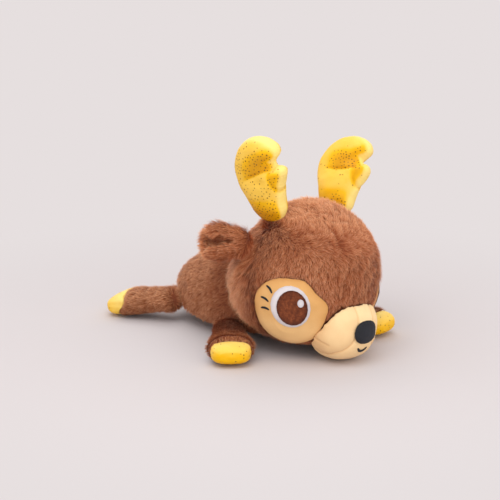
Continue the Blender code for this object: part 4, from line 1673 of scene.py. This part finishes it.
@dataclass
class Antler(Sewn):
    """A stuffed foil-cloth antler: painted sheen pale round its seam, painted shade gold where it folds, with dots
    in the middle.
    """

    joint: str = ""
    side: int = -1
    held_width: float = 1.6  # mm, like the other widths and the lines here
    fold_width: float = 1.5
    nip_width: float = 1.4
    fold_depth: float = 1.3
    nip_depth: float = 0.8
    pucker: float = 0.07
    swell: float = 0.35
    swell_size: float = 13 * MM
    base_tone: float = 0.66
    # painted sheen at the rim; gold_shade and nip_shade are painted shade
    edge_sheen: float = 0.34
    gold_shade: float = 0.62
    nip_shade: float = 0.25
    strewn: tuple[float, float] = (0.6, 0.12)  # how thick the dots lie, on the right antler and the left
    tine_line = [(14.5, 36), (14.6, 31), (16, 25), (18, 19)]
    creases = {
        -1: [(-14, 27.5), (-6, 31), (3.5, 34.6), (10, 37.2), (17, 38.5)],
        1: [(-12, 30.6), (-2, 30.6), (8, 31.6), (15, 34.5), (19, 38)]
    }

    def flat(self, points: np.ndarray) -> np.ndarray:
        """Gives points as forward, up and across in the antler's own plane.

        Args:
            points: Rows of places.

        Returns:
            The same places from the hinge, in the antler's directions.
        """
        seam = np.array(JOINTS[self.joint]["axis"])
        corners, _ = node_arrays(self.node)
        _, _, ways = np.linalg.svd(corners - corners.mean(0))
        across = ways[2] - (ways[2] @ seam) * seam
        across /= np.linalg.norm(across)
        along = np.cross(across, seam)
        if along[2] < 0:
            across, along = -across, -along
        base = points - np.array(JOINTS[self.joint]["pos_m"])
        return np.stack([base @ seam, base @ along, base @ across], axis=1)

    def held(self, points: np.ndarray) -> np.ndarray:
        """Its root is sewn to the head, and its fold is held by the seam at the tine.

        Args:
            points: The cloth's points.

        Returns:
            How firmly each point is sewn down, from 0 to 1.
        """
        flat = self.flat(points) / MM
        fold = bell(line_distance(flat[:, :2], self.creases[self.side]), self.held_width)
        return np.maximum(1 - ease(flat[:, 1], 3, 9), 0.8 * fold)

    def form(self, made: bpy.types.Object) -> np.ndarray:
        """Folds the cloth at the tine, puckers the seam and paints the tones and the dots: painted sheen at the
        rim, painted shade in gold where it folds.

        Args:
            made: The piece.

        Returns:
            One tone from 0 to 1 for each point.
        """
        points, normals = surface_of(made)
        flat = self.flat(points) / MM
        facing = np.abs(self.flat(points + normals * MM)[:, 2] / MM - flat[:, 2])
        rim = 1 - ease(facing, 0.25, 0.85)
        line = self.creases[self.side]
        crease = line_distance(flat[:, :2], line)
        tine = line_distance(flat[:, :2], self.tine_line)
        fade = 1 - ease(-flat[:, 0], 2, 16)
        fold = bell(crease, self.fold_width) * fade
        nip = bell(tine, self.nip_width)
        pucker = np.sin(flat[:, 1] * 1.9 + flat[:, 0] * 1.4 + 2 * waves(points, 8 * MM, 9.0))
        lift = -self.fold_depth * fold - self.nip_depth * nip + self.pucker * pucker * rim
        lift = lift + self.swell * waves(points, self.swell_size, 2.0) * (1 - rim)
        place(made, points + normals * (lift * MM)[:, None])
        above = flat[:, 1] - np.interp(flat[:, 0], [spot[0] for spot in line], [spot[1] for spot in line])
        shade_above = ease(above, -0.8, 0.8) * (1 - ease(above, 9, 20)) * ease(flat[:, 0], -16, 2)
        low = 1 - ease(flat[:, 1], 2, 18)
        tine_face = ease(flat[:, 0], 15, 18) * (1 - ease(flat[:, 1], 33, 38))
        # painted shade: deeper gold above the fold, low at the root and on the tine's face
        gold = np.maximum.reduce([0.9 * shade_above, 0.95 * low, 0.7 * tine_face])
        inner = 1 - rim
        strewn = self.strewn[self.side > 0]
        dots = inner * (shade_above * 1.6 + 0.6 * low + 0.5 * tine_face + strewn) - 0.08
        paint(made, "dots", np.clip(dots, 0, 1))
        # painted sheen at the rim, painted shade in gold and at the tine's nip
        tone = self.base_tone + self.edge_sheen * rim - self.gold_shade * gold * inner - self.nip_shade * nip
        return np.clip(tone, 0, 1)


@dataclass
class Hoof(Sewn):
    """A yellow hoof cap: convex, pale where it turns under its seam, which may slant back over the top."""

    joint: str = ""
    slant: float = 0.0
    proud: float = 3.2 * MM
    gathered: float = 0.12 * MM
    gather_size: float = 4 * MM
    dotted: float = 0.25
    base_tone: float = 0.42
    slant_tone: float = 0.1
    # painted light on upward faces
    top_light: float = 0.3
    seam_tone: float = 0.18
    # painted highlight on the raised gathers
    gather_highlight: float = 0.05

    def form(self, made: bpy.types.Object) -> np.ndarray:
        """Crowns the cap and gathers it along the seam, with painted light on upward faces and a painted highlight
        on the raised gathers.

        Args:
            made: The piece.

        Returns:
            One tone from 0 to 1 for each point.
        """
        points, normals = surface_of(made)
        root = np.array(JOINTS[self.joint]["pos_m"])
        middle = points.mean(0)
        way = (middle - root) / np.linalg.norm(middle - root)
        along = (points - root) @ way
        share = ease(along, float(along.min()), float(along.max()))
        gather = np.sin(waves(points, self.gather_size, 8.0) * 6) * (1 - share) ** 2
        flank = (normals @ way) > -0.5
        high = ease(points[:, 2] - middle[2], -6 * MM, 4 * MM) * (1 - share) * (self.slant > 0)
        outward = unit(normals - way * (normals @ way)[:, None])
        lifted = self.proud * high * (0.55 + 0.45 * ease(points[:, 2] - middle[2], 1 * MM, 7 * MM)) * flank
        back = -way * (self.slant * high)[:, None] + outward * lifted[:, None]
        place(made, points + normals * (self.gathered * gather)[:, None] + back)
        paint(made, "dots", np.clip(self.dotted * share, 0, 1))
        # painted light on upward faces and a painted highlight on the raised gathers
        up = ease(normals[:, 2], -0.6, 0.9)
        pale = self.slant_tone if self.slant else 0.0
        tone = self.base_tone + pale + self.top_light * up + self.seam_tone * (1 - share)
        return np.clip(tone + self.gather_highlight * gather, 0, 1)


# The stage


@dataclass(frozen=True)
class Lamp:
    """A soft studio lamp."""

    name: str
    azimuth: float
    elevation: float
    distance: float
    size: float
    power: float

    def hang(self, target: Vector) -> None:
        """Hangs the lamp so that it faces the toy.

        Args:
            target: What it faces.
        """
        light = bpy.data.lights.new(self.name, "AREA")
        light.energy = self.power
        light.size = self.size
        hung = make_object(self.name, light)
        away = View.back(self.azimuth, self.elevation)
        hung.location = target + away * self.distance
        hung.rotation_euler = away.to_track_quat("Z", "Y").to_euler()


@dataclass(frozen=True)
class View:
    """The photograph's viewpoint."""

    azimuth: float = -41.0
    elevation: float = 14.5
    distance: float = 1.1
    aim: tuple[float, float, float] = tuple(HeadFrame.middle + (0, 0, MM))
    right: float = 45.2 * MM
    up: float = 20.0 * MM
    lens: float = 99.0
    sensor: float = 36.0
    nearest: float = 0.01

    @staticmethod
    def back(azimuth: float, elevation: float) -> Vector:
        """Gives the direction from the toy to a viewer."""
        turn, lift = math.radians(azimuth), math.radians(elevation)
        return Vector((math.sin(turn) * math.cos(lift), -math.cos(turn) * math.cos(lift), math.sin(lift)))

    def set_up(self) -> None:
        """Makes the camera and hands it to the scene."""
        data = bpy.data.cameras.new("camera")
        data.sensor_width = self.sensor
        data.lens = self.lens
        data.clip_start = self.nearest
        camera = make_object("camera", data)
        back = self.back(self.azimuth, self.elevation)
        turn = back.to_track_quat("Z", "Y")
        camera.rotation_euler = turn.to_euler()
        camera.location = (
            Vector(self.aim)
            + back * self.distance
            - turn @ Vector((self.right, 0, 0))
            + turn @ Vector((0, self.up, 0))
        )
        bpy.context.scene.camera = camera


@dataclass(frozen=True)
class Studio:
    """A pale floor and background, with soft lamps."""

    paper: Colour = swatch(230, 223, 223)
    floor_paper: Colour = swatch(204, 197, 198)
    reach: float = 2.5
    lamps: tuple[Lamp, ...] = (
        Lamp("key_lamp", -60.0, 62.0, 0.9, 0.7, 3.3), Lamp("fill_lamp", -10.0, 14.0, 1.0, 0.8, 2.2),
        Lamp("back_lamp", 150.0, 60.0, 1.0, 0.5, 1.3)
    )
    ambient: float = 0.92
    ambient_colour: Colour = (1.0, 0.985, 0.975)
    corners: int = 64
    fade_start: float = 0.12
    fade_end: float = 0.42
    lit: tuple[float, float, float] = (0.0, -0.03, 0.07)

    def floor(self) -> None:
        """Lays the floor, which fades into the background far from the toy."""
        mesh = bpy.data.meshes.new("floor")
        turns = [2 * math.pi * k / self.corners for k in range(self.corners)]
        ring = [(self.reach * math.cos(turn), self.reach * math.sin(turn), 0) for turn in turns]
        mesh.from_pydata(ring, [], [list(range(self.corners))])
        floor = make_object("floor", mesh)
        made, graph, principled = shader("floor_paper")
        graph.feed(principled, Base_Color=(*self.floor_paper, 1.0), Roughness=0.95, Specular_IOR_Level=0.1)
        away = graph.vector("LENGTH", graph.add("ShaderNodeTexCoord").outputs["Object"])
        smooth = {"interpolation_type": "SMOOTHSTEP"}
        fade = graph.add("ShaderNodeMapRange", smooth, i0=away, i1=self.fade_start, i2=self.fade_end).outputs[0]
        seen = graph.add("ShaderNodeEmission", Color=(*self.paper, 1.0), Strength=1.0)
        rays = graph.add("ShaderNodeLightPath").outputs["Is Camera Ray"]
        share = graph.math("MULTIPLY", fade, rays)
        mixed = graph.add("ShaderNodeMixShader", i0=share, i1=principled.outputs[0], i2=seen.outputs[0])
        graph.feed(graph.tree.nodes["Material Output"], Surface=mixed.outputs[0])
        mesh.materials.append(made)

    def world(self) -> None:
        """Sets the background that the camera sees, and the even light on the toy."""
        world = bpy.data.worlds.new("studio")
        bpy.context.scene.world = world
        world.use_nodes = True
        graph = Graph(world.node_tree)
        rays = graph.add("ShaderNodeLightPath").outputs
        either = graph.math("MAXIMUM", rays["Is Glossy Ray"], rays["Is Transmission Ray"])
        shown = graph.math("MAXIMUM", rays["Is Camera Ray"], either)
        light = graph.add("ShaderNodeBackground", Color=(*self.ambient_colour, 1.0), Strength=self.ambient)
        back = graph.add("ShaderNodeBackground", Color=(*self.paper, 1.0), Strength=1.0)
        mixed = graph.add("ShaderNodeMixShader", i0=shown, i1=light.outputs[0], i2=back.outputs[0])
        graph.feed(graph.tree.nodes["World Output"], Surface=mixed.outputs[0])

    def set_up(self) -> None:
        """Builds the whole stage."""
        self.floor()
        self.world()
        for lamp in self.lamps:
            lamp.hang(Vector(self.lit))
        View().set_up()
        bpy.context.scene.view_settings.view_transform = "Standard"


# The toy


@dataclass
class Deer:
    """The whole toy."""

    eye_layers = (
        ("eye_white", Finish.WHITE, "white_satin", 0.35, 4, 0.25),
        ("iris", Finish.VELVET, "brown_velvet", 0.3, 4, 0.3),
        ("glint", Finish.WHITE, "white_satin", 0.2, 3, 0.0)
    )

    def plush(self, tree: Scatter) -> None:
        """Builds the head, the body, the ears and the legs.

        Args:
            tree: The tree of the pile.
        """
        limbs = [f"{part}_{side}" for part in ("ear", "antler") for side in SIDES]
        patches = [f"eye_patch_{side}_cloth" for side in SIDES]
        legs = [f"leg_{end}_{side}" for end in ("front", "hind") for side in SIDES]
        HeadPlush(
            "head", "head", ["muzzle_cloth", *patches], ["body", *limbs], limbs, limbs[2:],
            coats=("pile", "under_pile"), low=0.4, draw=1
        ).dress(tree)
        BodyPlush(
            "body", "torso", [], ["head", *legs], legs, strands=2.3e6, length=5.6 * MM, width=0.38 * MM,
            sink=2.5 * MM, ripple=0.7 * MM, lock_pull=1.5, finish=Finish.BODY_PILE, draw=2
        ).dress(tree)
        for number, side in enumerate(SIDES):
            EarPlush(
                f"ear_{side}", f"ear_{side}", [], ["head"], ["head"], voxel=1.1 * MM, sink=2.2 * MM, soft=2,
                ripple=0.2 * MM, groove=4.4 * MM, bald=1.0, strands=3.2e6, length=6.4 * MM, lean=60.0,
                lock_pull=0.8, joint=f"ear_{side}_bend", lit=0.6, end=0.8, draw=4 + number
            ).dress(tree)
            for row, end in enumerate(("front", "hind")):
                name = f"leg_{end}_{side}"
                hoof = [f"hoof_{end}_{side}_cloth"]
                cuffed = end == "front"
                LimbPlush(
                    name, name, [] if cuffed else hoof, ["body"], ["body"], voxel=1.4 * MM,
                    sink=((3.4 if number else 2.6) if cuffed else 1.4) * MM, soft=3, ripple=0.3 * MM, strands=2.6e6,
                    length=5.2 * MM, width=0.38 * MM, lock_pull=0.8, finish=Finish.BODY_PILE, joint=f"{name}_bend",
                    rolled=((0.6 if number else 2.2) if cuffed else 0.0) * MM, bared=1.0 if cuffed else 0.5,
                    lit=0.75 if cuffed else 0.9, end=0.05, over=0.16 if cuffed else 0.0, draw=8 + 2 * number + row
                ).dress(tree)

    def face(self) -> None:
        """Builds the muzzle, the nose, the mouth and the eyes."""
        Muzzle(
            "muzzle", "head", Finish.CREAM, "cream_velour", voxel=0.9 * MM, soft=4, fill=0.9, puffed=0.8 * MM,
            calm=10
        ).dress()
        Stitched("nose", "head", Finish.NAVY, "navy_thread", voxel=0.22 * MM, soft=4, crown=0.6 * MM).dress()
        Stitched(
            "mouth", "head", Finish.NAVY, "navy_thread", voxel=0.2 * MM, soft=2, pitch=0.5 * MM, ridge=0.08 * MM,
            puff=0.25 * MM
        ).dress()
        for side in SIDES:
            Patch(
                f"eye_patch_{side}", "head", Finish.TAN, "tan_velour", voxel=0.6 * MM, soft=4, crown=0.7 * MM,
                side=SIDES[side]
            ).dress()
            for layer, finish, slot, voxel, soft, crown in self.eye_layers:
                Sewn(
                    f"{layer}_{side}", "head", finish, slot, voxel=voxel * MM, soft=soft, crown=crown * MM
                ).dress()
            for number in (1, 2, 3):
                Stitched(
                    f"lash_{side}_{number}", "head", Finish.NAVY, "navy_thread", voxel=0.15 * MM, soft=2,
                    pitch=0.5 * MM, ridge=0.06 * MM, puff=0.3 * MM, slant=(0.3, 0.3, 0.9)
                ).dress()

    def foil(self, dots: Scatter) -> None:
        """Builds the antlers and the hooves, with their dots.

        Args:
            dots: The tree of the foil dots.
        """
        made = []
        for side in SIDES:
            name = f"antler_{side}"
            made.append(
                Antler(
                    name, name, Finish.FOIL, "foil_cloth", voxel=0.8 * MM, soft=8, fill=0.9,
                    puffed=1.4 * MM, joint=f"{name}_bend", side=SIDES[side],
                ).dress()
            )
            for end in ("front", "hind"):
                leg = f"leg_{end}_{side}"
                made.append(
                    Hoof(
                        f"hoof_{end}_{side}", leg, Finish.FOIL, "foil_cloth", voxel=0.6 * MM, soft=4,
                        fill=0.9, joint=f"{leg}_bend", slant=(8.5 if end == "hind" else 0.0) * MM,
                    ).dress()
                )
        for number, cloth in enumerate(made):
            spots = dots.grow(cloth, cloth.name.replace("_cloth", "_dots"), Finish.DOT, Draw=20 + number)
            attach(spots, cloth["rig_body"])
            report(spots)

    def build(self) -> None:
        """Builds every piece."""
        self.face()
        self.foil(dot_tree())
        self.plush(pile_tree())


def main() -> None:
    """Builds the stage and the toy."""
    logging.basicConfig(level=logging.INFO, format="%(name)s %(message)s")
    Studio().set_up()
    Deer().build()


if __name__ == "__main__":
    main()
